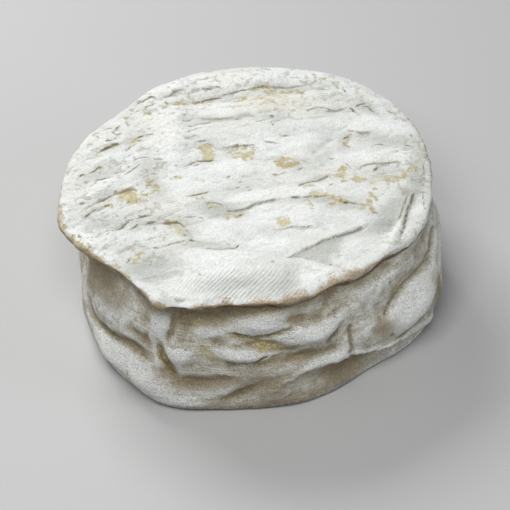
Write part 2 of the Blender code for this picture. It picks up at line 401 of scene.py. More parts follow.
class Rind:
    """Relief and masks being gathered over the corners, in a flat pair of coordinates."""

    def __init__(self, u, v, seed):
        self.u, self.v = u, v
        where = np.stack([u, v, 0 * u + seed], -1)
        # strokes wander by these, and come and go along their length
        self.wu = u + 0.35 * noise(where / 2.6, seed) + 0.16 * noise(where / 0.9, seed + 1)
        self.wv = v + 0.35 * noise(where / 2.6, seed + 2) + 0.16 * noise(where / 0.9, seed + 3)
        self.patchy = 0.5 + 0.5 * noise(where / 1.5, seed + 4)
        n = len(u)
        self.relief = np.zeros(n)
        self.crease = np.zeros(n)        # nearness of a crease's line, 1 on the line
        self.force = np.zeros(n)         # how dark the crease is
        self.brown = np.zeros(n)         # how brown it is
        self.wear = np.zeros(n)          # nearness of a worn place, 0.5 on its edge
        self.tone = np.zeros(n)
        self.cream = np.zeros(n)

    def lump(self, cx, cy, half_long, half_wide, direction, height):
        c, s = math.cos(math.radians(direction)), math.sin(math.radians(direction))
        dx, dy = self.u - cx, self.v - cy
        a = (c * dx + s * dy) / half_long
        b = (c * dy - s * dx) / half_wide
        self.relief += height * np.exp(-(a * a + b * b))

    def valley(self, depth, left, right, *path, roll=0.35):
        """Two swellings of the rind that meet in a sharp line, each with its own width."""
        k = near_path(self.u, self.v, path, 4.0 * max(left, right))
        if not len(k):
            return
        gap, side, end_gap, length = stroke(self.wu[k], self.wv[k], path)
        width = np.where(side > 0, left, right)
        taper = smooth(-1.0, min(5.0, 0.45 * length), end_gap)
        swell_up = roll * depth * np.exp(-((gap - 1.8 * width) / width) ** 2) * (side < 0)
        self.relief[k] += (swell_up - depth * np.exp(-gap / width)) * taper

    def fold(self, rise, far, drop, near, *path, edge=0.5):
        """A swelling on the left of the path that hangs over a hollow on its right."""
        k = near_path(self.u, self.v, path, 2.5 * max(far, near))
        if not len(k):
            return
        gap, side, end_gap, length = stroke(self.wu[k], self.wv[k], path)
        d = gap * side
        taper = smooth(-0.5, min(5.0, 0.45 * length), end_gap)
        left = smooth(-edge, edge, d)
        shape = left * rise * np.exp(-(d / far) ** 2) - (1 - left) * drop * np.exp(-(d / near) ** 2)
        self.relief[k] += shape * taper

    def ridge(self, height, left, right, *path, ends=3.0):
        """A ridge, or a groove if the height is below zero, with its own width on each side."""
        k = near_path(self.u, self.v, path, 3.0 * max(left, right))
        if not len(k):
            return
        gap, side, end_gap, length = stroke(self.wu[k], self.wv[k], path)
        width = np.where(side > 0, left, right)
        taper = smooth(0.0, min(ends, 0.4 * length), end_gap)
        self.relief[k] += height * np.exp(-(gap / width) ** 2) * taper

    def cut(self, depth, half_width, brown, *path):
        """A narrow crease in the rind, sunk, with a dark line that is partly grime and partly painted shade."""
        k = near_path(self.u, self.v, path, MARK_REACH + 1.0)
        if not len(k):
            return
        gap, side, end_gap, length = stroke(self.wu[k], self.wv[k], path)
        taper = smooth(0.0, min(1.8, 0.4 * length), end_gap)
        self.relief[k] -= 0.4 * depth * np.exp(-(gap / 0.45) ** 2) * (0.4 + 0.6 * taper)
        near = 1 - (gap + 0.40 - half_width + 0.15 * (1 - taper)) / MARK_REACH - 0.08 * (1 - self.patchy[k])
        more = near > self.crease[k]
        self.brown[k] = np.where(more, brown, self.brown[k])
        self.force[k] = np.where(more, min(1.0, 0.25 + 1.3 * depth), self.force[k])
        self.crease[k] = np.maximum(self.crease[k], near)

    def worn(self, half_width, tone, *path):
        """A place where the bloom is worn off down to the ochre rind."""
        k = near_path(self.u, self.v, path, half_width + 1.5)
        if not len(k):
            return
        gap, side, end_gap, length = stroke(self.wu[k], self.wv[k], path)
        near = np.clip(0.5 + 0.5 * (half_width - gap) / MARK_REACH, 0.0, 1.0)
        more = near > self.wear[k]
        self.tone[k] = np.where(more, tone, self.tone[k])
        self.wear[k] = np.maximum(self.wear[k], near)


# ---------------------------------------------------------------------------------------
# The top face: x and y in millimetres
# ---------------------------------------------------------------------------------------


def shape_top(r):
    # broad swellings and hollows: x, y, half-length, half-width, direction, height
    for lump in [
        (-8, 40.5, 24, 4.2, 14, -1.1), (-4, 50, 26, 3.6, 9, 0.9), (-23.5, 25, 15, 4.2, 93, 1.3),
        (-8, 27.5, 16, 3, 8, -0.6), (27, 33.0, 13, 3.6, 4, -0.9), (36, 45, 12, 5.0, -38, 1.1),
        (2, 20, 20, 5, 6, 0.7), (26, 18, 11, 3.2, 60, -1.0), (19, 17, 10, 3.4, 62, 0.7),
        (-42, 18, 11, 2.8, 36, -0.7), (-46, 9, 10, 2.6, 40, 0.6), (-44, -10, 13, 3.0, 24, -0.8),
        (-42, -3.5, 11, 2.8, 28, 0.7), (-30, 4, 12, 4, 36, 0.8), (12, -5.5, 15, 3.0, 10, 0.6),
        (-5, -17, 10, 3.6, 0, -0.7), (-30, -23, 16, 3.4, 6, -0.5), (-32, -15, 14, 3.0, 14, 0.7),
        (-48, -24, 9, 3.6, 40, -0.4), (-10, -31, 14, 3.4, -8, -0.6), (-8, -38, 15, 4.6, 0, 0.7),
        (42, 4, 13, 3.0, 10, -0.8), (44, 11.5, 12, 3.2, 6, 0.7), (41, 19, 11, 3.0, -4, -0.7),
        (41, 28, 11, 3.6, -10, 0.8), (42, -3.0, 11, 3.0, 0, 0.6), (-27, -45.5, 9.0, 4.8, 14, -1.6),
        (9, -41, 11, 5.0, 4, 0.9), (-33.5, 3.2, 4.5, 2.2, 50, 0.8), (45.5, -19, 10, 3.4, 70, -1.3),
        (-52, -29, 9, 3.4, -52, 0.8), (-34, 34, 8, 4, 40, 0.6), (-26, 45.6, 9, 3.4, 24, 1.3),
        (24, -50.5, 8, 3.4, -26, 1.0), (14, 29, 10, 4.4, 30, 0.5), (-40, 28, 9, 3, 46, -0.6), (28, -17, 12, 3.4, 4, 0.6),
        (2, 3.6, 14, 3.2, 4, 0.5), (-2, -3.8, 12, 3.0, 10, -0.5), (-16, 4.5, 9, 3.2, 30, -0.4),
    ]:
        r.lump(*lump)

    # folds and valleys, each walked from left to right
    r.valley(0.52, 3.2, 1.8, (-13.5, -12.5), (-11, -11), (-8.5, -11.8), (-6.5, -13.6), (-4, -14.8))
    r.fold(0.40, 4.0, 0.12, 1.8, (-7.5, -13.4), (-4, -14.8), (-1.5, -14.7), (1, -13.2), (4, -11.6), (8, -10.3),
           (13, -9.5), (18, -9), (23, -8.6), (29, -10), (34, -12))
    r.fold(0.30, 2.6, 0.20, 1.6, (-39.3, 35), (-37, 38), (-34, 40.4), (-31, 41), (-28, 41.2),
           (-24.5, 42.7), (-21, 44.8), (-16, 45.5), (-11, 46.2), (-7, 46.3))
    r.valley(0.52, 3.0, 2.4, (-28, 38.7), (-24, 38.8), (-20, 39.7), (-15, 40.9), (-11.5, 42),
             (-8.5, 43.2), (-5, 44.9), (-1, 46.7), (3, 47.8), (7, 48.2), (11, 47.8), (15, 47.9),
             (19, 49), (24, 50.6))
    r.valley(0.64, 3.0, 1.8, (19.5, 35), (22, 36.5), (25, 36.8), (27.5, 35.9), (30, 36.2),
             (32.5, 37), (34.2, 35.8))
    r.fold(0.36, 3.4, 0.16, 1.8, (-17, 31), (-10, 30.2), (-5, 31), (0, 32.8), (5, 34), (10, 35))
    r.fold(0.36, 3.0, 0.20, 1.8, (-17.5, 18), (-14.5, 17.9), (-11, 17.3), (-9.3, 15.3), (-5, 15.3),
           (0, 16), (2.8, 15.4))
    r.fold(0.36, 2.2, 0.16, 1.4, (-48.5, 14), (-44.5, 17), (-41.5, 18.7), (-38, 20.6), (-33.5, 22.3))
    r.valley(0.36, 2.6, 1.8, (-53, -11.7), (-50, -10.8), (-47, -10), (-44.5, -8.3), (-42, -7),
             (-39.5, -6.2), (-37, -4.6))
    r.fold(0.36, 2.6, 0.16, 1.5, (-52, -19), (-49.5, -17.6), (-47.5, -15.8), (-44.5, -13.5),
           (-42.5, -12.6), (-38.5, -11))
    r.valley(0.48, 2.2, 1.8, (-48.5, -0.2), (-46, 0.5), (-43, 1.2), (-39.6, 2), (-38.3, 3),
             (-35.5, 5.2), (-33.4, 7.2))
    r.valley(0.48, 2.6, 1.8, (-43, -25), (-40, -22.8), (-38, -21.3), (-36, -19.8), (-33.5, -18.4),
             (-30, -17.7))
    r.fold(0.30, 2.2, 0.16, 1.6, (-38, -24.4), (-35, -22.5), (-33.2, -21), (-30.5, -20.5),
           (-27, -20.6), (-23, -20.7), (-20.5, -20.6))
    r.valley(0.48, 2.4, 1.8, (-21, -20.6), (-18.6, -23), (-17.6, -26), (-15.5, -28.5), (-12, -31))
    r.fold(0.30, 2.2, 0.14, 1.6, (-24.5, -31.8), (-22.5, -30.3), (-19.5, -29.5), (-16, -28.3))
    r.valley(0.48, 2.4, 2.0, (-16, -28.3), (-12, -29.6), (-8.5, -30), (-5, -28), (-3, -26.6), (1, -27), (5, -26.6))
    r.valley(0.40, 2.0, 1.6, (-14.5, -30.2), (-12, -32.3), (-9.5, -33), (-5, -32.8), (-2.4, -31.4))
    r.fold(0.27, 3.0, 0.12, 2.0, (8, -24.8), (11, -24), (14, -23.3), (18, -23.4), (22, -22.4), (27, -21))
    r.valley(0.56, 2.6, 1.9, (19.5, -2), (22, -0.3), (24, 1), (27.5, 1.8))
    r.valley(0.56, 3.0, 2.0, (35, 5), (38, 7.4), (42, 7.8), (46, 8.2), (50, 8.8))
    r.fold(0.30, 2.4, 0.14, 1.8, (31, 25.8), (34, 23.8), (37, 23.2), (40, 23.7), (43, 24.4))
    r.valley(0.48, 2.6, 1.8, (34, 21.4), (39, 21.4), (45, 21.2), (49, 20))
    r.valley(0.40, 2.4, 1.8, (-23, 4.8), (-20, 6.4), (-17, 8.3), (-14, 9))
    r.valley(0.40, 2.4, 1.8, (-6, 1.6), (-2, 1.2), (3, 1.3), (6, 2.5), (10, 4.6))
    r.fold(0.24, 2.4, 0.12, 1.5, (5, 19.2), (6.6, 17.6), (10.5, 17))
    r.valley(0.56, 2.6, 1.8, (-20, -9.4), (-16, -7.4), (-11.5, -5.4))
    r.valley(0.48, 2.4, 2.0, (-45, -3.6), (-41, -3.8), (-37.5, -2.6), (-33, -0.6))
    r.valley(0.72, 2.8, 2.2, (34.5, 36.6), (37, 38.6), (39.6, 38.8), (40.8, 36), (41.6, 33.6))
    r.ridge(0.9, 2.6, 1.8, (42.3, 39.6), (44, 35.4), (46, 31.6), (48.4, 28))
    r.ridge(0.5, 1.5, 3.5, (20.2, 6.5), (23, 11.5), (26.5, 17), (30, 21.2))

    shape_flap(r)
    # the standing crease inside the right rim
    r.ridge(1.0, 1.7, 0.6, (42.0, -37), (44.6, -32), (46.7, -26.5), (48.7, -20), (50.2, -14.5),
            (51.8, -9.5), (53.9, -3.5), ends=7.0)
    r.ridge(-0.5, 0.5, 1.2, (47.5, -32), (47.7, -27.5), (49.0, -22.5), (50.1, -16), (51.5, -11),
            (53.3, -6.5), ends=5.0)

    for cut in CUTS_TOP:
        r.cut(*cut)
    for worn in WORN_TOP:
        r.worn(*worn)
    shape_wrinkles(r)

    # painted shade over the top: a grey level, the listed patches, painted light where an amount is below zero, and
    # more shade over the sunk flap
    thin = 0.32 + 0.12 * layered(np.stack([r.u / 9, across_of(r) / 4, 0 * r.u], -1), 151, 3)
    for x, y, half_long, half_wide, direction, amount in TOP_PAINTED_SHADE:
        c, s = math.cos(math.radians(direction)), math.sin(math.radians(direction))
        a = (c * (r.wu - x) + s * (r.wv - y)) / half_long / 1.1
        b = (c * (r.wv - y) - s * (r.wu - x)) / half_wide / 1.1
        thin += amount * np.exp(-(a * a + b * b) ** 1.3)
    r.thin = np.clip(thin + 0.55 * r.flap, 0, 1)

    cream = np.exp(-(((r.u - 8.5) / 13) ** 2 + ((r.v - 39) / 4.6) ** 2) ** 2)
    cream += 0.5 * np.exp(-((r.u + 20.5) / 3) ** 2 - ((r.v + 23) / 3) ** 2)
    r.cream = np.clip(cream, 0, 1)


# painted shade on the top, grey as if the bloom were sparser, and painted light, whiter, below zero: x, y,
# half-length, half-width, direction, amount
TOP_PAINTED_SHADE = [
    (-5, 43.5, 22, 2.2, 14, 0.2), (13, 46, 8, 2.5, 0, 0.35), (38, 38, 7, 3, -30, 0.35), (30, 36, 10, 1.6, 5, 0.3),
    (44, 30, 6, 2, -50, 0.3), (-3, 31, 14, 1.8, 5, 0.35), (-12.5, 13, 6, 3.4, 80, 0.2),
    (-2, 12, 5, 3, 0, 0.2), (13, 7, 6, 3.4, 10, 0.3), (31, 18.5, 6, 1.6, 85, 0.3), (26, 13, 9, 2.6, 60, 0.3),
    (-38, 18, 12, 2.4, 35, 0.35), (-30, 8, 9, 4, 50, 0.3), (-38, -10, 12, 2.6, 22, 0.22), (-28, -4, 6, 3, -50, 0.35),
    (-30, -20, 18, 3.6, 5, 0.25), (-48, -22, 10, 5, 35, 0.2), (-9, -14, 8, 3, -15, 0.5), (-3, -17, 6, 2, 0, 0.3),
    (14, -10.8, 14, 1.2, 5, 0.3), (31, -12.4, 9, 2.6, -14, 0.4), (-19, -25, 6, 2.6, -60, 0.4),
    (-10, -31.5, 10, 2, 0, 0.35), (-29, -40, 10, 4.5, 14, 0.65), (3, -50, 13, 5, 0, 0.35),
    (13.5, -46, 6, 3, 75, 0.4), (39, -24, 8, 2.4, 25, 0.4), (50.5, -13, 10, 2.0, 75, 0.5), (54.5, 8, 12, 3.0, 88, 0.6), (45, -16, 11, 3.4, 62, 0.45), (43, 3, 9, 3, 10, 0.35),
    (2, -4, 12, 4, 10, 0.25), (18, -3, 4, 2, 20, 0.4), (24, 1, 5, 2, 15, 0.3), (45, 20, 9, 3, -5, 0.35),
    (-46, 4, 9, 3, 40, 0.25), (20, 24, 5, 3, 30, 0.15), (-40, -33, 8, 3, 10, 0.2),
    (-25, 46.5, 8, 3, 28, -0.5), (-8, 51.5, 17, 3, 8, -0.4), (-26.5, 24, 15, 4.5, 92, -0.4),
    (-9, 36.5, 8, 3, 10, -0.3), (10, -6.6, 13, 2, 10, -0.5), (23.5, -47, 7, 5, -20, -0.7), (45.6, -27, 8, 2, 72, -0.6),
    (45, 28, 9, 3, -15, -0.3), (46, 11, 9, 2.5, 5, -0.3), (-13, -40, 10, 6, 0, -0.35), (-50, -31, 9, 4, -50, -0.4),
    (-22, -5, 5, 5, 90, -0.3), (8, -17, 14, 3, 5, -0.3), (6, -30, 10, 3, 0, -0.2), (-45, -1, 8, 2, 25, -0.3),
    (-44, 11, 8, 2.4, 40, -0.25), (-2, 7, 8, 2.6, 0, -0.2), (14, 14, 6, 3, 50, -0.25), (38, 12, 8, 2, 10, -0.2),
]

# depth, half-width, how brown, points
CUTS_TOP = [
    (0.5, 0.55, 0.7, (-47.6, 14.8), (-44.5, 17.0), (-41.5, 18.7)),
    (0.4, 0.5, 0.2, (-45.6, 19.8), (-43.3, 20.6)),
    (0.5, 0.5, 0.9, (-36.6, 21), (-35.0, 21.5)),
    (0.5, 0.5, 0.5, (-34.6, 21.9), (-33.3, 22.4)),
    (0.2, 0.5, 0.3, (-32.5, 22.7), (-30, 22.5)),
    (0.45, 0.4, 0.6, (-38.8, 14.2), (-38.0, 15.6), (-36.4, 16.1)),
    (0.35, 0.4, 0.1, (-36.2, 8.8), (-34.3, 10.3), (-31, 10.8)),
    (0.55, 0.45, 0.1, (-38.4, 2.8), (-35.8, 5.0), (-33.7, 7)),
    (0.5, 0.5, 0.2, (-53.2, 1.2), (-51.6, 2)),
    (0.4, 0.4, 0.6, (-50.2, 2.3), (-48.5, 4.1), (-46.9, 5.5), (-45.6, 4.9)),
    (0.55, 0.45, 0.5, (-48, 0), (-46, 0.5), (-44, 1)),
    (0.3, 0.4, 0.0, (-51, -2.3), (-50, -1)),
    (0.3, 0.4, 0.4, (-30, 3.6), (-27.7, 3.9)),
    (0.25, 0.4, 0.3, (-30.4, 1.2), (-27.6, 1.5)),
    (0.3, 0.45, 0.2, (-29.5, 9.5), (-26.3, 9.2)),
    (0.3, 0.5, 0.7, (-52.4, -11.5), (-50.4, -10.9)),
    (0.35, 0.5, 0.8, (-47.2, -10.2), (-45.8, -9.2), (-44, -8), (-42.2, -7.3)),
    (0.35, 0.5, 0.6, (-42, -7), (-39.5, -6), (-37, -4.5), (-34.5, -5.2)),
    (0.55, 0.5, 0.1, (-51.4, -18.8), (-49.6, -17.8), (-48.8, -17)),
    (0.35, 0.45, 0.2, (-48.6, -16.8), (-47, -15.2), (-44.8, -13.8)),
    (0.4, 0.5, 0.8, (-44.4, -13.5), (-42.6, -12.6)),
    (0.3, 0.5, 0.2, (-36.8, -19.8), (-34.5, -19)),
    (0.55, 0.5, 0.2, (-34, -18.7), (-32, -18), (-30.2, -17.8)),
    (0.4, 0.45, 0.1, (-42, -24), (-41.6, -23.4)),
    (0.5, 0.45, 0.1, (-40.4, -23), (-38, -21.2), (-36.6, -20.4)),
    (0.35, 0.45, 0.1, (-37.5, -24.1), (-35, -22.5), (-33.6, -21)),
    (0.35, 0.4, 0.1, (-43.6, -26.6), (-42.4, -24.9)),
    (0.4, 0.45, 0.2, (-31.6, -21.4), (-30.3, -20.6), (-28.2, -20.3)),
    (0.45, 0.5, 0.6, (-26.4, -20.8), (-24.6, -20.8), (-22, -20.3), (-20.2, -20.8), (-19.2, -22.2)),
    (0.3, 0.4, 0.5, (-18.6, -23.2), (-18, -24.2)),
    (0.3, 0.4, 0.7, (-19.6, -25.8), (-18.9, -26.6)),
    (0.35, 0.4, 0.5, (-24, -31.5), (-22.5, -30.4), (-20, -29.6), (-18.4, -29.2)),
    (0.5, 0.45, 0.3, (-18, -29.2), (-16.2, -28.3)),
    (0.5, 0.5, 0.4, (-3.2, -32.4), (-2.1, -31)),
    (0.25, 0.5, 0.0, (-12, -32.3), (-9.5, -33), (-5, -32.8), (-3.2, -32.4)),
    (0.4, 0.5, 0.9, (-28.6, -32.9), (-27, -32.6)),
    (0.3, 0.4, 0.9, (-27.6, -38), (-27.3, -38.5)),
    (0.4, 0.4, 0.4, (-36.6, -39.4), (-36, -37.2)),
    (0.2, 0.5, 0.0, (-33, -32.6), (-30, -33.2)),
    # back
    (0.45, 0.5, 0.3, (-37.4, 37.6), (-36, 38.8), (-34, 40.3), (-32, 41), (-30, 40.7)),
    (0.35, 0.4, 0.2, (-28, 41.2), (-26, 41.6), (-24, 43), (-22, 44.6), (-20, 45.2)),
    (0.5, 0.4, 0.2, (-15.6, 45.5), (-12, 46), (-9.4, 46.6), (-7, 46.3)),
    (0.4, 0.4, 0.6, (-20, 43.4), (-18, 44.2), (-16, 44.7)),
    (0.45, 0.5, 0.9, (-17.8, 40.3), (-15, 40.9), (-12, 41.8), (-9.6, 42.8), (-8.6, 42.7)),
    (0.45, 0.45, 0.7, (-8.2, 43.9), (-5, 44.9), (-2, 46.2), (0.2, 47.1)),
    (0.6, 0.5, 0.9, (0.2, 47.1), (3, 47.8), (6.4, 47.9)),
    (0.35, 0.5, 0.1, (6.4, 48.2), (9.4, 47.9), (13, 47.7)),
    (0.2, 0.6, 0.0, (13, 47.7), (18, 48.6), (21, 49.8), (24, 50.4)),
    (0.45, 0.5, 0.7, (-27.5, 38.8), (-25.8, 38.6)),
    (0.45, 0.5, 0.7, (-24.4, 38.6), (-23, 38.9)),
    (0.55, 0.5, 0.3, (-33.6, 36.6), (-32, 37.2), (-30, 37.9)),
    (0.4, 0.4, 0.1, (-35.4, 35.3), (-35, 35.7)),
    (0.35, 0.4, 0.6, (-39.4, 31), (-39, 33), (-37.5, 34), (-35.2, 35.2)),
    (0.3, 0.4, 0.6, (-39.2, 30.4), (-38.5, 28.4), (-37.6, 26.6)),
    (0.5, 0.4, 0.3, (-41, 27.6), (-42, 26), (-43.2, 24.6), (-42.2, 23), (-40.6, 23.8)),
    (0.3, 0.4, 0.1, (-46.6, 25.8), (-43.6, 26.1)),
    (0.4, 0.35, 0.1, (-48, 22.6), (-47.6, 21)),
    (0.25, 0.45, 0.2, (-16, 31), (-10, 30.3), (-5, 31)),
    (0.45, 0.45, 0.1, (-3.8, 30.2), (-2, 30.7)),
    (0.4, 0.45, 0.1, (0.4, 31.4), (1.8, 31.8)),
    (0.5, 0.5, 0.1, (2.8, 29), (3.4, 29.1)),
    (0.45, 0.4, 0.1, (3.4, 29.1), (5, 29.5), (7.4, 30.2)),
    (0.5, 0.6, 0.1, (7.9, 31.8), (8.4, 31.6)),
    (0.4, 0.4, 0.3, (6.8, 28), (8.3, 28.8)),
    (0.45, 0.45, 0.3, (8, 26.4), (8.5, 27)),
    (0.5, 0.4, 0.2, (-20.8, 31.6), (-18.6, 32)),
    (0.3, 0.45, 0.5, (-20.6, 33.6), (-19, 34.2)),
    (0.4, 0.4, 0.2, (-20.6, 28.5), (-19, 29.3), (-17.6, 30)),
    (0.5, 0.45, 0.1, (-19.6, 26.4), (-17.4, 26.9)),
    (0.25, 0.4, 0.1, (-17.2, 27), (-15, 28), (-12, 29.2)),
    (0.3, 0.4, 0.1, (-19.4, 23), (-17, 25), (-14.4, 26.2)),
    (0.25, 0.4, 0.1, (-19.4, 20.4), (-16.6, 21.8)),
    (0.5, 0.6, 0.1, (19.6, 35.1), (20.1, 35)),
    (0.4, 0.35, 0.4, (22, 39.8), (21.8, 41.2)),
    (0.5, 0.5, 0.2, (25.8, 35), (26.9, 35.5)),
    (0.3, 0.45, 0.1, (20.6, 35.6), (22.6, 36.6), (25, 36.8), (28, 35.8), (30, 36.2), (32.4, 37)),
    (0.6, 0.5, 0.4, (33.6, 36.4), (34.8, 35.2), (35.6, 34.5)),
    (0.3, 0.4, 0.3, (36, 34.2), (36.7, 32.2)),
    (0.45, 0.45, 0.7, (35.2, 37), (37, 38.4), (39.4, 38.8)),
    (0.55, 0.45, 0.4, (38, 37.2), (39.6, 37.6), (40.4, 36), (41.4, 34)),
    (0.6, 0.45, 0.0, (31.1, 46), (31.7, 45), (32.4, 44)),
    (0.3, 0.5, 0.1, (22.4, 46.6), (25, 46.9), (27, 46.2)),
    (0.25, 0.4, 0.0, (29, 47.5), (30.2, 46)),
    (0.4, 0.4, 0.1, (45.5, 35), (47.4, 33.2), (49.6, 31.3)),
    (0.4, 0.4, 0.8, (21.4, 54.4), (23, 54.3)),
    (0.25, 0.4, 0.0, (32, 25), (34, 23.8), (37, 23.2), (41, 24)),
    (0.25, 0.4, 0.0, (40, 16.2), (41.6, 17.5), (44, 17.6), (45.6, 17)),
    (0.55, 0.45, 0.0, (50, 18.5), (52.3, 17.6), (53.3, 16)),
    # middle
    (0.45, 0.45, 0.2, (-15.8, 17.8), (-13.6, 18), (-12.4, 18)),
    (0.4, 0.4, 0.8, (-13.8, 15.8), (-12.4, 16.6), (-10.8, 15.8)),
    (0.4, 0.4, 0.4, (-9, 15), (-5, 15.4), (0, 16), (2.4, 15.8), (3, 14.6)),
    (0.45, 0.4, 0.8, (-15.6, 9), (-12.6, 8.8), (-10.2, 9.6)),
    (0.35, 0.4, 0.1, (-19.6, 6), (-17, 8.2), (-15.6, 9.2)),
    (0.3, 0.4, 0.3, (-17, 6.6), (-15.4, 7.6)),
    (0.3, 0.5, 0.0, (5, 18.8), (6.6, 17.4), (10, 17)),
    (0.3, 0.5, 0.0, (11.4, 20.6), (14, 21)),
    (0.35, 0.4, 0.1, (16.4, 4.3), (18, 5.3)),
    (0.5, 0.4, 0.2, (8.6, 1.5), (10.4, 1.9)),
    (0.25, 0.4, 0.1, (10.4, 1.9), (12.8, 3)),
    (0.6, 0.45, 0.0, (5, -0.6), (5, -0.9)),
    (0.5, 0.45, 0.1, (-3.2, -3.8), (-2.1, -3)),
    (0.25, 0.4, 0.4, (-1, -4.5), (1.2, -3.2)),
    (0.45, 0.4, 0.5, (0.4, -5.7), (1.8, -5)),
    (0.25, 0.4, 0.1, (-3, -1.5), (-1.2, -1)),
    (0.25, 0.45, 0.1, (-6.6, 0.4), (-5, 1)),
    (0.35, 0.5, 0.3, (-18.6, -8.7), (-16, -7.2), (-12, -5.6)),
    (0.35, 0.4, 0.7, (-13, -12), (-11.4, -11), (-9, -11.4), (-7.2, -12.8)),
    (0.3, 0.4, 0.7, (-13, -14.2), (-11, -13.2), (-9.2, -13)),
    (0.35, 0.45, 0.1, (-6, -14.4), (-3.4, -15), (-1, -14.5), (1.4, -13), (5, -11.2), (10, -9.9)),
    (0.45, 0.45, 0.1, (14, -9.4), (16.8, -9)),
    (0.2, 0.4, 0.1, (16.8, -9), (20, -9)),
    (0.5, 0.45, 0.7, (-2.4, -16.9), (-1.4, -16.8)),
    (0.4, 0.45, 0.3, (-15.4, -18.2), (-13.6, -18)),
    (0.25, 0.45, 0.1, (-20, -18), (-16, -17.8)),
    (0.45, 0.45, 0.7, (16.3, -4.5), (17.4, -3), (19.2, -1.8)),
    (0.6, 0.45, 0.1, (19.4, -1.8), (19.8, -1.5)),
    (0.35, 0.5, 0.1, (20.4, -1.6), (22, -0.3), (24, 1), (26.4, 1.6)),
    (0.4, 0.4, 0.6, (26, -3.8), (27.2, -2.4)),
    (0.35, 0.4, 0.2, (26, 10.6), (27, 9.6), (28.4, 9.4)),
    (0.3, 0.4, 0.1, (30.4, 7.4), (32, 6.8), (33.6, 5.4)),
    (0.25, 0.5, 0.0, (36, 5.5), (38, 7.4), (42, 7.8), (46, 8.2), (49, 8.5)),
    (0.7, 0.75, 0.2, (40.8, 5.2), (41.5, 5.9)),
    (0.5, 0.45, 0.9, (30.6, -11), (31.8, -11.4)),
    (0.3, 0.45, 0.3, (32, -11.4), (34, -11.8), (36, -12)),
    (0.3, 0.4, 0.6, (20, -8.6), (23, -8.6), (26, -8.8)),
    (0.4, 0.4, 0.1, (42, -12), (42.6, -13.3)),
    (0.45, 0.5, 0.8, (31, 20.9), (32.2, 21.5)),
    (0.45, 0.35, 0.6, (31.8, 19.8), (33, 19.7)),
    (0.25, 0.45, 0.0, (8.4, -24.6), (11, -24), (14, -23.3), (18, -23.4), (21, -22.6)),
    (0.3, 0.4, 0.1, (7.6, -39.8), (9, -40.8)),
    (0.25, 0.4, 0.0, (-14.8, -44), (-13.6, -45.6)),
    # the flap
    (0.25, 0.38, 0.3, (12.8, -37.3), (16.5, -34.7), (21, -31.5), (25, -28.8), (30, -26.3), (34.5, -24.5),
     (36.3, -22.2)),
    (0.5, 0.4, 0.7, (27.2, -41.7), (29, -42.6)),
    (0.45, 0.35, 0.3, (22.4, -40.2), (22.8, -39.6)),
    (0.45, 0.35, 0.2, (25.7, -39.9), (25.8, -39.0)),
    (0.5, 0.4, 0.1, (33.9, -40.4), (34.1, -39.6)),
    (0.4, 0.45, 0.7, (33.4, -43.4), (34.1, -41.8)),
    (0.3, 0.35, 0.2, (30.2, -21.3), (30.4, -21)),
    # the right rim
    (0.45, 0.4, 0.0, (47.5, -19.5), (48.8, -14.5), (50.1, -10.5), (51.5, -6.5)),
    (0.55, 0.4, 0.0, (47.9, -26.8), (48.9, -23), (49.8, -18.5), (50.8, -13.5), (52, -9.5), (53.2, -6.4)),
    (0.4, 0.4, 0.0, (47.6, -31), (47.9, -27.4)),
    (0.35, 0.4, 0.3, (50.7, -4.8), (51.2, -3.8)),
    (0.25, 0.45, 0.0, (56.6, 9), (56.3, 4), (56.2, 0), (55.9, -6), (56, -12), (56.4, -16)),
    (0.4, 0.35, 0.1, (54.2, 3), (54.6, 5)),
    (0.35, 0.35, 0.1, (55, 9), (55.2, 12), (54.8, 14)),
    (0.3, 0.4, 0.1, (51.5, 23.5), (53, 22.2), (54, 20.8)),
    (0.4, 0.4, 0.1, (13.6, -56.2), (14.8, -54.2), (15.8, -52.6)),
]

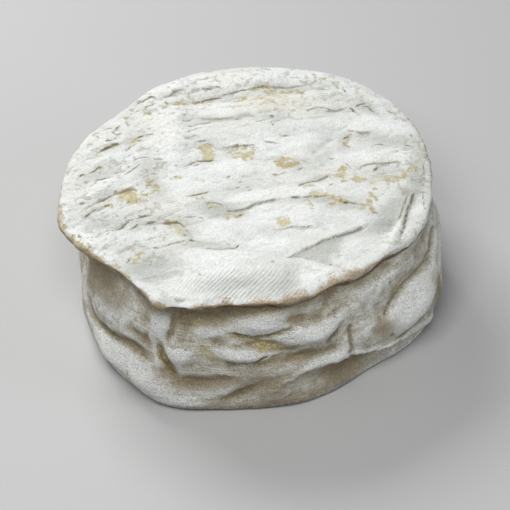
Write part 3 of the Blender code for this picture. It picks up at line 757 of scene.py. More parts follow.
# half-width, tone from pale tan to dark brown, points
WORN_TOP = [
    (2.4, 0.50, (-38.2, -8.6), (-36, -7.8)), (1.3, 0.78, (-35.2, -6.6), (-34.9, -8.8), (-36.2, -10.4)),
    (0.8, 0.6, (-41, -6.8), (-38.6, -6)), (0.9, 0.7, (-30.6, -2.6), (-29, -3.8), (-27.8, -5.9)),
    (0.7, 0.5, (-31, -0.7), (-29.4, -1.2)),
    (1.9, 0.45, (-12.7, 14.4), (-12.4, 12), (-12.2, 10.8)), (0.8, 0.7, (-14.2, 14.8), (-13.4, 12.2)),
    (0.7, 0.75, (-5.8, 13.2), (-3, 14.2)), (0.6, 0.8, (-4.6, 11.9), (-2.2, 13)),
    (0.8, 0.6, (-3.4, 10.1), (-0.5, 11.7), (2, 14)), (0.9, 0.5, (-0.8, 9.6), (1.4, 11.6)),
    (0.7, 0.7, (-1, 14.9), (2.4, 14.8)), (0.5, 0.6, (1.7, 12.2), (2.2, 10.2)),
    (0.8, 0.9, (9.1, 8.2), (11, 9.3), (13.2, 9.5)), (1.1, 0.8, (9.9, 6.7), (13, 6.4), (15.8, 7)),
    (0.6, 0.8, (10.2, 5.1), (12.5, 5.3)), (0.45, 0.5, (14, 8.6), (17.6, 8.9)),
    (0.7, 0.8, (-7.3, -17), (-4.5, -16.6), (-1.8, -16.8)), (0.6, 0.7, (-6.1, -17.3), (-5.6, -18.3)),
    (0.5, 0.6, (-12.4, -12.6), (-9.6, -13.4)),
    (1.1, 0.5, (30.5, 5), (30, 2.4)), (1.0, 0.5, (29.2, 2), (30.6, 0.4), (31, -0.8)),
    (0.7, 0.5, (26.8, 1.6), (29, 2.3)),
    (0.45, 0.5, (34.2, 1.2), (33.9, -0.2), (34.9, -1), (36, -0.3), (35.6, 1)),
    (0.35, 0.6, (36.2, -1.3), (37.2, 0.5)),
    (0.7, 0.6, (46.4, -1.6), (47.1, 0.3), (48.5, 1.4), (51, 1.4)),
    (0.7, 0.5, (50, 3.3), (51, 4.5), (52.5, 5.6), (54.2, 7.2)),
    (0.5, 0.2, (40, 1.3), (43, 1.6), (46.5, 1.2)), (0.5, 0.2, (40, -2.2), (42, -0.9), (46, -0.9)),
    (0.9, 0.75, (26.9, -9.3), (29, -10.3), (31, -11.2)), (0.7, 0.6, (26, -12.9), (27.2, -12.7)),
    (0.7, 0.2, (20.5, -8), (23, -7.7), (26, -8.6)), (0.5, 0.8, (18.9, -12.2), (19.6, -10.4)),
    (0.5, 0.5, (20.3, -12), (20.7, -13.6)),
    (0.9, 0.7, (35.2, -12.1), (38.2, -12.6)), (0.6, 0.8, (38.8, -10.2), (38.7, -13), (39.6, -16.4)),
    (0.7, 0.5, (38.9, -10), (39.4, -7.2), (40.2, -5.4)), (0.5, 0.5, (40, -8), (41, -9.8)),
    (0.4, 0.4, (34.8, -13.2), (33.6, -15)), (0.4, 0.4, (36.8, -13.6), (36.1, -15)),
    (0.8, 0.8, (-34.5, -39.2), (-33.6, -37.6), (-32.8, -35.8)),
    (0.8, 0.9, (-32.8, 32.4), (-31.8, 33.4)),
    (1.9, 0.32, (11.3, -21), (11.8, -20.9)),
    (1.2, 0.5, (7.4, 45.3), (8.8, 44.6)), (0.9, 0.85, (11, 44.8), (11.7, 45.4)),
    (0.8, 0.8, (13.6, 44.9), (14.4, 45.2)), (0.9, 0.5, (16, 45), (18.3, 45.3)),
    (0.7, 0.9, (1.2, 46.3), (3.5, 47), (6.4, 47.5)), (0.5, 0.4, (3.2, 41.6), (5.2, 42.3)),
    (0.8, 0.75, (-3.2, 40.5), (-1.6, 41.2), (-1, 42.3)), (0.45, 0.6, (0.1, 43.4), (1.3, 44.5)),
    (0.5, 0.35, (7, 40.3), (9, 40.1)), (0.8, 0.75, (-22.6, 39.2), (-20.9, 39.6)),
    (0.7, 0.6, (-17.6, 40.2), (-15.6, 40.5)), (0.4, 0.4, (-24, 44), (-21.6, 43.4)),
    (0.6, 0.8, (-36.8, 21), (-35.4, 21.4)), (0.5, 0.6, (-37.4, 19), (-35, 19.5)),
    (0.45, 0.6, (-37, 17.8), (-38.2, 14.8)), (0.6, 0.85, (31.8, 21.4), (32.8, 22.2)),
    (0.7, 0.9, (31.9, 17), (32.4, 16)), (0.5, 0.85, (31.8, 18.5), (32, 18.2)),
    (0.45, 0.7, (-15.4, -9.5), (-13.9, -9.4)), (0.5, 0.5, (-22.3, 0.6), (-20.7, 1.4)),
    (0.45, 0.6, (-47.6, 5.3), (-46, 5.5)), (0.4, 0.45, (-31, 6.2), (-27.6, 5.9)),
    (0.45, 0.5, (-44, -13.2), (-42.5, -12.4)), (0.6, 0.5, (-24.4, -20.7), (-22.2, -20.4)),
    (0.9, 0.15, (-21.2, -22.4), (-20.4, -24.8)), (0.5, 0.5, (22.5, 50.2), (25.2, 51.6)),
    (0.4, 0.4, (18.2, -5.4), (19.2, -4), (21.3, -3.8)), (0.45, 0.6, (-39.4, 31), (-39, 33)),
    (0.5, 0.5, (-33.4, -7.6), (-31, -7), (-29, -6.6)),
    # the lip at the front left and the front right
    (0.6, 0.8, (-58.6, -12.5), (-58.0, -17), (-57, -21.5), (-56.2, -24)),
    (0.9, 0.6, (-54.6, -28.2), (-52.6, -31), (-50.4, -33)),
    (1.1, 0.75, (-49.6, -34.2), (-47, -37.6), (-44.6, -40.8)),
    (0.7, 0.9, (-52.6, -26.9), (-52.1, -28.5)), (0.5, 0.9, (-49.2, -31.4), (-48.4, -33)),
    (0.45, 1.0, (-40.9, -40.6), (-40.7, -41.4)), (0.45, 0.9, (-40.1, -42.6), (-39.9, -43.7)),
    (0.45, 0.75, (-39, -42.3), (-38.8, -43.2)), (0.7, 0.4, (-38.6, -44.8), (-37.4, -45.4)),
    (0.5, 0.9, (-36.5, -46.6), (-35.9, -47)), (0.5, 0.7, (-33.4, -51.4), (-31.2, -54)),
    (0.7, 0.8, (-27.6, -58.8), (-25, -60.2)),
]


FLAP_UPPER = [(12.2, -37.4), (16.5, -34.6), (21, -31.3), (25, -28.5), (30, -26), (34.5, -24.2), (37.6, -21.2)]
FLAP_LOWER = [(12.2, -37.4), (17, -38.7), (20, -39.8), (24, -41), (30, -42.8), (37, -44.4)]


def shape_flap(r):
    """A flap of rind at the front right, sunk between two edges that part from one point."""
    up_gap, up_side, _, _ = stroke(r.wu, r.wv, FLAP_UPPER)
    low_gap, low_side, _, _ = stroke(r.wu, r.wv, FLAP_LOWER)
    under = smooth(-0.2, 0.2, -up_gap * up_side)
    over = smooth(-0.2, 0.2, low_gap * low_side)
    share = up_gap / (up_gap + low_gap + 1e-6)
    reach = smooth(11.5, 15.0, r.u) * smooth(46.0, 30.0, r.u)
    ends = r.u - 0.30 * (r.v + 38.0) + 1.2 * noise(np.stack([r.u / 2.4, r.v / 2.4, 0 * r.u], -1), 73)
    deep = 0.45 + 0.55 * smooth(29.5, 24.5, ends)
    r.relief -= under * over * reach * (0.15 + 1.7 * deep * share)
    # painted shade over the sunk flap, added to the top's painted shade
    r.flap = under * over * smooth(12.5, 16.0, r.u) * smooth(29.0, 24.5, ends) * (1 - 0.4 * share)
    beyond = smooth(26.0, 30.0, r.u) * smooth(39.0, 35.0, r.u)
    r.relief -= 0.4 * under * beyond * np.exp(-(up_gap / 4.0) ** 2)
    r.relief += 0.4 * (1 - under) * np.exp(-(up_gap / 4.5) ** 2) * smooth(12, 20, r.u) * smooth(40, 34, r.u)
    r.relief += 0.3 * (1 - over) * np.exp(-(low_gap / 3.0) ** 2) * reach
    r.lump(23, -47, 7.0, 4.0, -20, 0.8)
    r.ridge(0.4, 0.9, 0.7, (15, -39), (20, -40.6), (25, -42), (30, -43.8), (35, -45.2))


def across_of(r):
    """Distance across the grain of the top, which runs left to right and steeper at the left."""
    left = np.minimum(r.u + 10.0, 0.0)
    return r.v - 0.18 * r.u + 0.009 * left ** 2


def shape_wrinkles(r):
    """Small wrinkles drawn out along the grain of the top."""
    across = across_of(r)
    flat = np.stack([r.u, across, 0 * r.u], -1)
    bend = layered(flat / 9.0, 61, 2)
    rough = smooth(-8, -34, r.u) + smooth(24, 44, r.v) + 0.6 * smooth(34, 50, r.u)
    rough = 0.10 + 0.90 * np.clip(0.8 * rough + 0.45 * noise(flat / 11.0, 66), 0, 1)
    rough *= 1 - 0.7 * smooth(-34, -44, r.v)
    r.crumple = rough
    for long, high, depth, seed in [(11.0, 3.6, 0.55, 81), (5.5, 1.9, 0.34, 84), (3.6, 1.2, 0.16, 87)]:
        cell = np.stack([r.u / long, across / high, 0 * r.u], -1)
        field = abs(noise(cell + bend[:, None] * 0.6, seed) + 0.35 * noise(2.1 * cell + bend[:, None], seed + 1))
        r.relief += depth * rough * (np.minimum(field, 0.6) - 0.3)
        line = 1 - field * high / 1.6 / MARK_REACH
        # faint lines of painted shade along the wrinkles' troughs, drawn as creases
        faint = (line > r.crease) & (rough > 0.45) & (r.patchy > 0.62)
        r.force = np.where(faint, 0.33, r.force)
        r.brown = np.where(faint, 0.3, r.brown)
        r.crease = np.where(faint, line - 0.06, r.crease)


def printed(r):
    """Where fine slanting ridges are pressed into the front of the top face."""
    place = np.exp(-(((r.u + 2.0) / 19.0) ** 2 + ((r.v + 50.5) / 8.0) ** 2) ** 2)
    return place * np.clip(0.75 + 0.45 * noise(np.stack([r.u / 5, r.v / 5, r.u * 0], -1), 71), 0, 1)


# ---------------------------------------------------------------------------------------
# The side: angle in degrees, height in millimetres
# ---------------------------------------------------------------------------------------

ARC = math.radians(1.0) * WHEEL_RADIUS      # millimetres round the side for one degree


def arcs(path):
    return [(a * ARC, z) for a, z in path]


SIDE_LUMPS = [
    # angle, height, half-length, half-height, tilt, depth
    # the front: three swellings under the lip, and the furrows between them
    (274.5, 34.0, 8.0, 3.5, 5, 2.9), (278, 37.2, 5.0, 1.5, 0, 1.0), (257.5, 30.6, 5.0, 2.2, 10, 1.0),
    (267.5, 27.7, 5.0, 1.2, -8, 0.6), (274.5, 26.8, 6.0, 1.2, -8, -1.3), (281, 23.4, 6.0, 1.4, -8, -1.2),
    (268.0, 23.2, 6.2, 2.3, -6, 2.7), (292, 27.4, 7.8, 3.6, 2, 3.1), (287, 33.4, 5.5, 1.6, -8, -1.0),
    (287.5, 19.4, 7.5, 1.9, -4, -1.7), (276.5, 20.2, 3.5, 1.1, 14, -0.7), (268, 16.0, 8.0, 2.0, 0, 0.4), (249.6, 21.4, 4.2, 3.4, 0, 2.1),
    (246, 18.0, 1.6, 6.5, 26, -1.9), (242.6, 29.6, 3.0, 5.0, 0, 1.3), (250.6, 35.0, 4.2, 4.6, 0, -1.8),
    (262, 37.0, 10.0, 2.0, 4, -1.3), (297, 15.2, 5.5, 1.9, 2, 1.8), (254, 11.4, 5.5, 1.9, 0, -1.6),
    (262, 13.0, 5.0, 1.8, 14, -1.1), (268.6, 7.6, 7.5, 1.9, 26, -1.2), (281, 7.0, 7.0, 2.4, 24, 0.7),
    # the foot: the white lobe at the left, the hollow at the right
    (228, 8.6, 11.0, 4.4, 0, 2.6), (241.5, 8.0, 7.0, 4.8, -20, 2.4), (253, 4.4, 6.0, 3.0, -8, 0.8),
    (223, 15.2, 9.0, 1.7, 4, -1.4), (234, 17.2, 6.0, 1.9, -2, -1.5), (211.5, 16.5, 2.2, 5.0, 35, -1.0),
    (302, 8.6, 10.0, 3.6, -4, -2.8),
    # left and right of the front
    (222, 24.0, 9.0, 4.6, 0, 1.4), (236.6, 22.4, 5.0, 2.8, -14, -1.1), (214, 33.0, 9.0, 5.0, 0, -1.4),
    (207, 24, 5.0, 4.0, 30, 0.5), (311, 32.0, 6.0, 5.0, 0, 1.0), (311, 21.0, 4.0, 5.0, 0, 1.0),
    (304.8, 19.0, 1.2, 6.0, -4, -0.4), (298.8, 23.4, 4.0, 1.6, 45, -0.9), (299, 35.0, 5.0, 4.4, 0, -0.9),
    (331.5, 17.4, 12.0, 5.2, 10, 3.3), (329, 10.6, 6.0, 1.7, 20, -1.2), (324, 34.0, 8.0, 3.4, 6, 0.9),
    (352, 34, 10.0, 2.6, 8, -1.0),
    (12, 20, 14.0, 7.0, -10, 1.8), (20, 31, 14.0, 2.4, -8, -1.8),
    (38, 14, 8.0, 8.0, 20, -1.6), (56, 24, 13.0, 5.6, -12, 2.0), (72, 12, 12.0, 3.4, 10, -1.8),
    (88, 29, 8.0, 5.0, 30, -1.6), (98, 16, 12.0, 6.6, 0, 1.8), (122, 25, 12.0, 3.2, -24, -1.8),
    (128, 11, 12.0, 5.0, 8, 1.6), (146, 31, 9.0, 4.0, 10, 1.7), (156, 19, 7.0, 8.0, -20, -1.6),
    (172, 12, 12.0, 5.6, -6, 1.8), (184, 27, 9.0, 4.6, 14, -1.2),
]

# brown over the side: partly where the bloom is worn and the brown rind shows through, partly painted shade in the
# valleys and
# under the rim: angle, height, half-length, half-height, tilt, amount
SIDE_STAINS_AND_SHADE = [
    (215, 32.8, 10, 5.0, -6, 0.95), (237, 36.4, 6, 2.6, -6, 0.8), (249.8, 35.2, 3.4, 5.6, 0, 1.0),
    (259, 36.4, 7, 2.6, 6, 1.0), (269, 38.8, 8, 1.8, 4, 1.0), (281, 39.6, 6, 1.3, 0, 1.0),
    (287, 35.0, 4, 1.8, -10, 0.7), (274.5, 26.6, 5.5, 1.4, -8, 0.9), (280, 24.6, 6, 1.4, -8, 0.9),
    (286.5, 19.4, 8, 1.9, -3, 1.0), (267.5, 29.4, 5, 1.0, -4, 0.5), (255, 11.4, 8, 3.0, 6, 1.0), (277, 19.8, 4, 1.3, 14, 0.9), (261, 34.8, 6, 2.2, 12, 0.6), (246, 14.6, 3, 2, 30, 0.9), (258, 1.8, 12, 1.6, 0, 0.6),
    (272, 12.0, 12, 3.0, 0, 0.5), (245.8, 18, 1.4, 5.6, 26, 0.8), (237.8, 22.8, 3.2, 1.7, -20, 0.95),
    (232.6, 24, 2.4, 1.3, -10, 0.5), (221, 16.6, 9, 1.7, 6, 0.8), (233, 18.4, 6, 1.9, -2, 0.9), (209, 26, 5, 4, 0, 0.8), (206, 11, 4, 5, 0, 0.6), (222, 27.5, 6, 2.4, 10, 0.5), 
    (268.6, 8, 7, 1.9, 26, 0.9), (278.5, 7.6, 5, 2.0, 14, 0.8), (303, 4.6, 9, 3.6, -4, 1.0), (316.5, 17.6, 4, 3, 0, 0.9), (342, 15, 4, 6, 0, 1.0), (283, 2.6, 18, 2.6, 0, 0.85), (288, 12, 7, 2.4, 10, 0.35), (276, 13.6, 8, 2.4, 0, 0.5),
    (270, 17.0, 6, 1.4, 0, 0.45), (302, 9.6, 9, 2.6, -6, 1.0), (309.5, 38.4, 4, 2.4, 0, 0.8),
    (293, 33, 2, 2.2, 0, 0.7), (299, 36, 5, 2.6, 0, 0.35), (318, 38, 4, 1.2, 0, 0.4),
    (298.8, 24.4, 3.6, 1.3, 45, 0.6), (311.5, 31.5, 2.2, 1.8, 0, 0.35), (318.5, 14.5, 3.4, 2.4, 0, 0.4),
    (304.6, 18, 1.2, 5, 0, 0.4), (325, 26.4, 6, 1.6, 20, 0.6), (335, 28.0, 6, 1.2, -6, 0.5),
    (328, 10.8, 5, 1.3, 20, 0.45), (345, 33, 8, 3.0, 0, 0.3), (186, 14, 7, 7, 0, 0.5),
    (25, 38.5, 22, 2.4, 0, 0.6), (70, 38.0, 24, 2.4, 0, 0.5), (115, 38.4, 24, 2.2, 0, 0.6),
    (160, 38.2, 20, 2.4, 0, 0.5), (190, 38, 12, 2.6, 0, 0.6), (20, 30.6, 12, 1.8, -8, 0.5),
    (38, 14, 7, 6, 20, 0.5), (72, 12, 12, 2.4, 10, 0.6), (88, 29, 7, 4, 30, 0.5), (122, 25, 12, 2, -24, 0.6),
    (156, 19, 6, 7, -20, 0.5), (184, 27, 8, 4, 14, 0.5), (100, 4, 40, 2.4, 0, 0.4), (8, 9, 10, 2.4, 10, 0.4),
    (150, 6, 18, 2.6, 0, 0.4), (50, 4.5, 16, 2.6, 0, 0.4),
]


def shape_side(r):
    for angle, height, half_long, half_high, tilt, depth in SIDE_LUMPS:
        for turn in (-360, 0, 360):
            r.lump((angle + turn) * ARC, height, half_long, half_high, tilt, 1.2 * depth)

    def valley(depth, left, right, *path):
        r.valley(depth, left, right, *arcs(path))

    def ridge(height, left, right, *path):
        r.ridge(height, left, right, *arcs(path))

    # the valley over the right-hand bulge, and the fold over the foot
    valley(1.2, 2.4, 1.5, (317.2, 19.6), (320, 22.4), (323.5, 24.2), (328, 25.6), (333, 26.6),
         (338, 26.2), (346, 26.2), (351.5, 28.4), (358, 30))
    ridge(1.5, 1.3, 0.6, (296, 12.8), (300, 13.6), (305, 12.4), (310, 11), (315.5, 9.9), (320, 9.0),
          (324, 8.0), (328, 7.6), (332, 7.2), (337, 6.2), (342, 5))
    ridge(0.8, 1.2, 0.9, (278.5, 10), (282.5, 11.8), (286.5, 13.8), (290, 15.3), (294, 16.4))
    ridge(0.45, 0.9, 0.9, (262.6, 6.4), (264.4, 8.6), (266.4, 10.6))
    ridge(-0.4, 0.8, 0.8, (305.5, 13.6), (304.9, 18), (304.5, 22), (305.2, 26))
    ridge(-0.5, 0.8, 0.8, (303, 15.4), (304.6, 13), (306, 11.8))
    ridge(-0.9, 1.0, 1.0, (243.4, 24), (243.8, 20), (245.6, 16), (247.6, 13.6), (250, 12))
    ridge(-0.5, 1.0, 1.0, (208, 20), (214, 15), (220, 15), (227, 16), (234, 16.6), (240, 15.4))
    ridge(-0.9, 0.8, 0.8, (263.2, 31.3), (266.5, 30.4), (270.3, 29.2), (275, 29.3), (280, 30.2), (286, 31.4))
    ridge(-0.35, 0.8, 0.8, (262, 20.4), (267, 20.0), (272, 20.4), (276, 21.8), (280, 21.4), (286, 20.4))
    ridge(0.5, 1.0, 1.0, (217.5, 19.6), (220.6, 23.4), (222, 26))
    ridge(0.4, 1.0, 1.0, (228, 22), (231, 26), (233, 31))
    ridge(-0.5, 0.8, 0.8, (236, 19.8), (238.4, 23.4), (239.4, 27.4))
    ridge(-1.0, 0.9, 0.9, (246.6, 36.4), (247.4, 32), (247.0, 28.6), (245.4, 25.4))
    ridge(-0.5, 0.9, 0.9, (333, 13.6), (338, 15.4), (344, 17.4), (352, 16))
    ridge(-0.4, 0.8, 0.8, (340, 33), (344, 35.4), (350, 36.4))
    ridge(-0.5, 0.8, 0.8, (322.4, 35), (323, 31.6), (324.6, 28.6))
    # the same kind of creases on the sides away from the front
    for path, height in [
        (((4, 12), (12, 14), (20, 12.4), (30, 13.4)), -0.7), (((24, 24), (33, 27), (42, 25)), -0.7),
        (((46, 33), (55, 31.6), (66, 33)), -0.6), (((50, 16), (62, 18.4), (74, 16)), -0.7),
        (((78, 22), (86, 24.8), (96, 22.6)), -0.6), (((92, 34), (103, 32.4), (114, 34)), -0.6),
        (((104, 9), (112, 11.4), (122, 9)), -0.6), (((112, 20), (120, 22.4), (130, 19)), -0.7),
        (((134, 16), (141, 19.6), (148, 24)), -0.7), (((136, 36), (150, 35), (163, 37)), -0.6),
        (((158, 26), (167, 23), (178, 24.4)), -0.7), (((164, 7), (174, 9), (186, 7.4)), -0.6),
        (((354, 6), (4, 7), (366, 6)), -0.01), (((186, 18), (194, 21), (202, 19.4)), -0.6),
    ]:
        ridge(height, 0.9, 0.9, *path)

    for depth, half_width, brown, *path in CUTS_SIDE:
        r.cut(depth, half_width, brown, *arcs(path))
    for half_width, tone, *path in WORN_SIDE:
        r.worn(half_width, tone, *arcs(path))


CUTS_SIDE = [
    (0.5, 0.5, 0.8, (243.4, 23), (243.8, 19), (245.6, 16), (247.4, 13.8), (249.2, 12.3)),
    (0.5, 0.45, 0.8, (263.4, 31.2), (266.5, 30.4), (268.6, 29.6), (270.3, 29.2)),
    (0.5, 0.45, 0.8, (271, 29.3), (273, 29.9), (274.8, 29.2), (277, 29.9), (280, 30.2)),
    (0.7, 0.85, 0.9, (272.8, 20.6), (274.4, 21.4), (275.8, 22.0)),
    (0.3, 0.5, 0.3, (276, 21.8), (280, 21.2), (285, 20.6)),
    (0.3, 0.45, 0.3, (305.2, 25.5), (304.5, 22.4), (304.9, 19)), (0.3, 0.4, 0.3, (305, 16.4), (305.5, 13.4)),
    (0.35, 0.5, 0.3, (301, 27), (299.4, 24.2), (297, 22.4)),
    (0.35, 0.45, 0.2, (279, 10), (282.5, 11.3), (286.5, 13.2)),
    (0.45, 0.45, 0.3, (265, 6.4), (268.6, 8.6), (272.6, 10)), (0.5, 0.5, 0.4, (262.4, 4.6), (263.4, 6.2)),
    (0.6, 0.55, 0.3, (303.5, 12.8), (307.5, 11), (312.5, 9.8), (316, 9.2), (319.5, 8.4), (323.5, 7.4),
     (325.5, 7.1)),
    (0.5, 0.5, 0.2, (325.5, 7.1), (331, 6.4), (336, 5.6), (342, 4.6)),
    (0.4, 0.5, 0.1, (317.4, 20.4), (320, 22.4), (323.5, 24.2), (331, 26.4), (338, 26.2), (346, 26.2), (351.5, 28.4)),
    (0.4, 0.5, 0.2, (331, 12.6), (334.6, 14.6), (338, 17)),
    (0.45, 0.45, 0.4, (219.0, 21.5), (220.4, 22.4)), (0.5, 0.5, 0.2, (225.8, 24.6), (226.4, 23.2)),
    (0.4, 0.5, 0.8, (218.2, 24.6), (219.0, 23.8)), (0.35, 0.4, 0.2, (224.6, 21.8), (226, 21.2)),
    (0.5, 0.45, 0.8, (316.4, 21), (316.9, 20)), (0.45, 0.45, 0.8, (319.4, 14.6), (319.9, 12.6)),
    (0.35, 0.4, 0.6, (234.6, 9.6), (235, 8)), (0.4, 0.45, 0.3, (304.6, 12.4), (305.8, 11.6)),
    (0.4, 0.5, 0.1, (246.4, 36.4), (246.7, 33), (246.6, 30), (245.4, 27)),
    (0.4, 0.45, 0.1, (300, 41), (306, 40.8), (312, 40.4), (318, 40.2), (324, 40.4), (330, 40.2),
     (337, 39.6)),
    (0.5, 0.45, 0.6, (264.6, 39.4), (266.2, 37.6)),
    (0.3, 0.4, 0.4, (18, 13.8), (24, 12.4), (30, 13.2)),
    (0.3, 0.4, 0.4, (56, 31.6), (63, 32.2)),
    (0.3, 0.4, 0.4, (84, 24.4), (90, 24.6), (96, 22.8)),
    (0.3, 0.4, 0.4, (116, 21.4), (121, 22.2), (127, 20.4)),
    (0.3, 0.4, 0.4, (160, 25.2), (167, 23), (175, 24)),
]

WORN_SIDE = [
    (0.6, 0.8, (263.6, 30.9), (266.5, 30.0), (270, 29.0)), (0.6, 0.75, (271, 29.1), (275, 29.0), (279, 29.8)),
    (1.2, 0.75, (272.8, 25.8), (276, 25.2), (279.6, 24.6)), (0.9, 0.45, (279.6, 24.6), (284, 24.2)),
    (1.3, 0.45, (256.6, 24.8), (258.6, 22.8), (260.6, 20.8)), (1.0, 0.45, (260.6, 20.4), (263.2, 20.4)),
    (1.1, 0.8, (243.5, 23), (243.9, 19.4)), (0.8, 1.0, (244.4, 18), (246, 15.4), (248.6, 12.8)),
    (0.9, 0.9, (253.8, 33.0), (256, 33.9)), (0.5, 0.9, (316.3, 21.2), (316.8, 20)),
    (0.6, 0.5, (319.4, 14.6), (319.9, 12.8)), (0.6, 0.5, (234.6, 9.6), (235, 8)),
    (1.2, 0.4, (26, 26), (33, 26.4)), (1.0, 0.5, (60, 18), (66, 17.6)), (1.2, 0.4, (86, 24), (92, 24)),
    (1.0, 0.5, (109, 11), (114, 11)), (1.3, 0.4, (120, 22), (127, 20)), (1.0, 0.5, (142, 20), (146, 23)),
    (1.2, 0.4, (166, 23.4), (172, 23.4)), (1.0, 0.5, (190, 20), (197, 20.6)),
    (1.0, 0.4, (40, 34), (46, 33)), (0.8, 0.6, (8, 13.4), (12, 13.8)),
]


# ---------------------------------------------------------------------------------------
# Putting the mesh together
# ---------------------------------------------------------------------------------------

VIEW_LEAN = 1.13             # how far a height shows shifted in plan at the wheel's usual viewing angle


def make_wheel():
    place, angle, down, faces, triangles, many = build_form()
    normal = corner_normals(place, faces, triangles)
    x, y, z = place.T

    on_top = 1.0 - smooth(0.20, 0.30, down)
    on_side = smooth(0.12, 0.24, down) * (down < 1.5)

    # near the front lip the top's marks are placed as they are seen from the front
    lean = VIEW_LEAN * (z - (WHEEL_HEIGHT - 0.4)) * smooth(20.0, -20.0, y)
    top = Rind(x, y + lean, 101)
    shape_top(top)
    side = Rind(angle * ARC, z, 131)
    shape_side(side)

    # uneven surface everywhere: soft rolls, drawn out left to right on the top
    tilt = math.radians(12)
    rolled = np.stack([(x * math.cos(tilt) + y * math.sin(tilt)) / 11,
                       (y * math.cos(tilt) - x * math.sin(tilt)) / 4.0, z / 6], -1)
    warp = 0.5 * layered(place / 14, 5, 2)
    rolls = 0.34 * layered(rolled + warp[:, None], 11, 3, 0.5)
    fine_rolls = 0.08 * layered(rolled * 3.1 + warp[:, None], 31, 2, 0.6)
    lumps = 0.45 * layered(place / 8.0, 23, 3, 0.5) + 0.10 * layered(place / 1.7, 41, 2, 0.6)
    ring = np.stack([angle * ARC / 7.5 + z / 9.0, z / 3.2 - angle * ARC / 12.0, 0 * z], -1)
    ring = ring + 0.5 * layered(place / 6.0, 45, 2)[:, None]
    lumps += 0.30 * (np.minimum(abs(noise(ring, 47) + 0.35 * noise(2.2 * ring, 48)), 0.7) - 0.35)
    top.relief += rolls + fine_rolls
    side.relief += lumps

    foot = smooth(0.0, 3.0, z)
    nose = np.exp(-((z - RIM_HEIGHT + 1.5) / 3.4) ** 2) * (down > 0)
    relief = top.relief * on_top * (1 - 0.55 * smooth(0.0, 0.22, down)) + side.relief * on_side * foot
    relief += nose * swell(angle, LIP_WAVES)
    shaped = place + normal * relief[:, None]
    shaped[:, 2] = np.maximum(shaped[:, 2], 0.0)
    base = down >= 0.999
    shaped[base, 2] = 0.0

    # how proud each corner stands over its surroundings
    proud = np.zeros(len(shaped))
    for rounds, share in ((6, 1.0), (30, 0.5)):
        soft = np.stack([blurred(shaped[:, c], faces, triangles, rounds) for c in range(3)], -1)
        proud += share * ((shaped - soft) * normal).sum(1)

    lip_height, tan, dark, shelter = lip_marks(angle, down, z)
    upper = on_top > 0.5
    lip_tone = np.clip(0.6 + 0.5 * swell(angle, [(262, 22, 1.0)]) - 0.5 * swell(angle, [(300, 12, 1.0)]), 0, 1)
    dust_and_light = painted(angle, z, SIDE_DUST_AND_LIGHT) * on_side
    gritty = smooth(4.0, 0.6, z) * (0.35 + 0.65 * np.clip(swell(angle, [(278, 26, 1.0)]), 0, 1)) * on_side
    wiped = np.clip(0.35 + 0.5 * noise(place / 11.0, 73) + 0.5 * swell(angle, [(276, 26, 1.0)]), 0, 1)
    masks = {
        "creases": (
            np.where(upper, top.crease, side.crease),
            np.where(upper, top.force, side.force),
            np.where(upper, top.brown, side.brown),
            np.where(upper, top.crumple, gritty),
        ),
        "wear": (
            np.where(upper, top.wear, side.wear),
            np.where(upper, top.tone, side.tone),
            # the top's painted shade
            top.thin,
            np.where(upper, printed(top), wiped),
        ),
        "lip": (lip_height, tan, dark, lip_tone),
        "places": (
            smooth(0.17, 0.33, down),
            # how proud each corner stands, raised by the side's dust and painted light
            np.clip(0.5 + proud * np.where(upper, 2.0, 1.0) + 0.32 * dust_and_light, 0.0, 1.0),
            top.cream * on_top,
            # brown stains and painted shade on the side, with the painted shade under the rim
            np.maximum(painted(angle, z, SIDE_STAINS_AND_SHADE), shelter) * smooth(0.18, 0.24, down),
        ),
    }
    return shaped, down, angle, faces, triangles, many, masks


# where the side is whiter: partly thick white bloom, partly painted light on the lit tops of the bulges, in the same
# terms
SIDE_DUST_AND_LIGHT = [
    (277.5, 37.2, 6.0, 1.3, 4, 1.2), (273, 33.8, 8.0, 3.2, 6, 1.2), (291.5, 28.2, 7.2, 3.0, 2, 1.4),
    (268.4, 23.7, 6.4, 1.5, -6, 1.8), (265, 21.4, 5.0, 1.8, -6, 0.8), (242.6, 30, 2.6, 4.6, 0, 0.6), (249.4, 22.4, 3.0, 1.8, 0, 0.9),
    (228, 10.0, 9.0, 3.6, 3, 1.4), (237, 10.0, 6.0, 3.4, -10, 1.4), (242, 8.4, 6.0, 3.6, -20, 1.4), (232, 4.0, 10.0, 2.4, 0, 0.7),
    (252.5, 4.4, 6.0, 2.0, -6, 0.7), (223, 26, 6.0, 3.4, 0, 0.45),
    (233, 29.5, 3.5, 2.6, 20, 0.4), (297, 16.2, 4.6, 1.4, 2, 1.4), (284.5, 12.6, 6.0, 0.8, 30, 0.7),
    (314, 9.9, 6.0, 0.5, -12, 1.0), (329.5, 7.2, 3.6, 0.8, -2, 1.5), (327, 20.4, 9.0, 4.4, 16, 1.4), (356, 18.4, 5.0, 5.0, 0, 1.4),
    (336, 22, 6.0, 3.4, 10, 0.9), (311, 34, 6.0, 3.4, 0, 0.4), (308, 24, 2.6, 2.4, 0, 0.6),
    (313.5, 26.4, 2.4, 3.0, 0, 0.5), (324, 32, 7.0, 2.4, 6, 0.4),
    (12, 20, 11.0, 5.0, -10, 0.6), (56, 24, 10.0, 4.0, -12, 0.6), (98, 16, 9.0, 5.0, 0, 0.6),
    (128, 11, 9.0, 3.6, 8, 0.5), (172, 12, 9.0, 4.0, -6, 0.6), (146, 31, 7.0, 3.0, 10, 0.5),
]


def painted(angle, z, patches):
    """How much of the side's soft patches lies over each corner."""
    total = np.zeros_like(angle)
    for centre, height, half_long, half_high, tilt, amount in patches:
        c, s = math.cos(math.radians(tilt)), math.sin(math.radians(tilt))
        dx = ((angle - centre + 180.0) % 360.0 - 180.0) * ARC
        dz = z - height
        a = (c * dx + s * dz) / half_long / 1.15
        b = (c * dz - s * dx) / half_high / 1.15
        total = 1 - (1 - total) * (1 - amount * np.exp(-(a * a + b * b)))
    return total


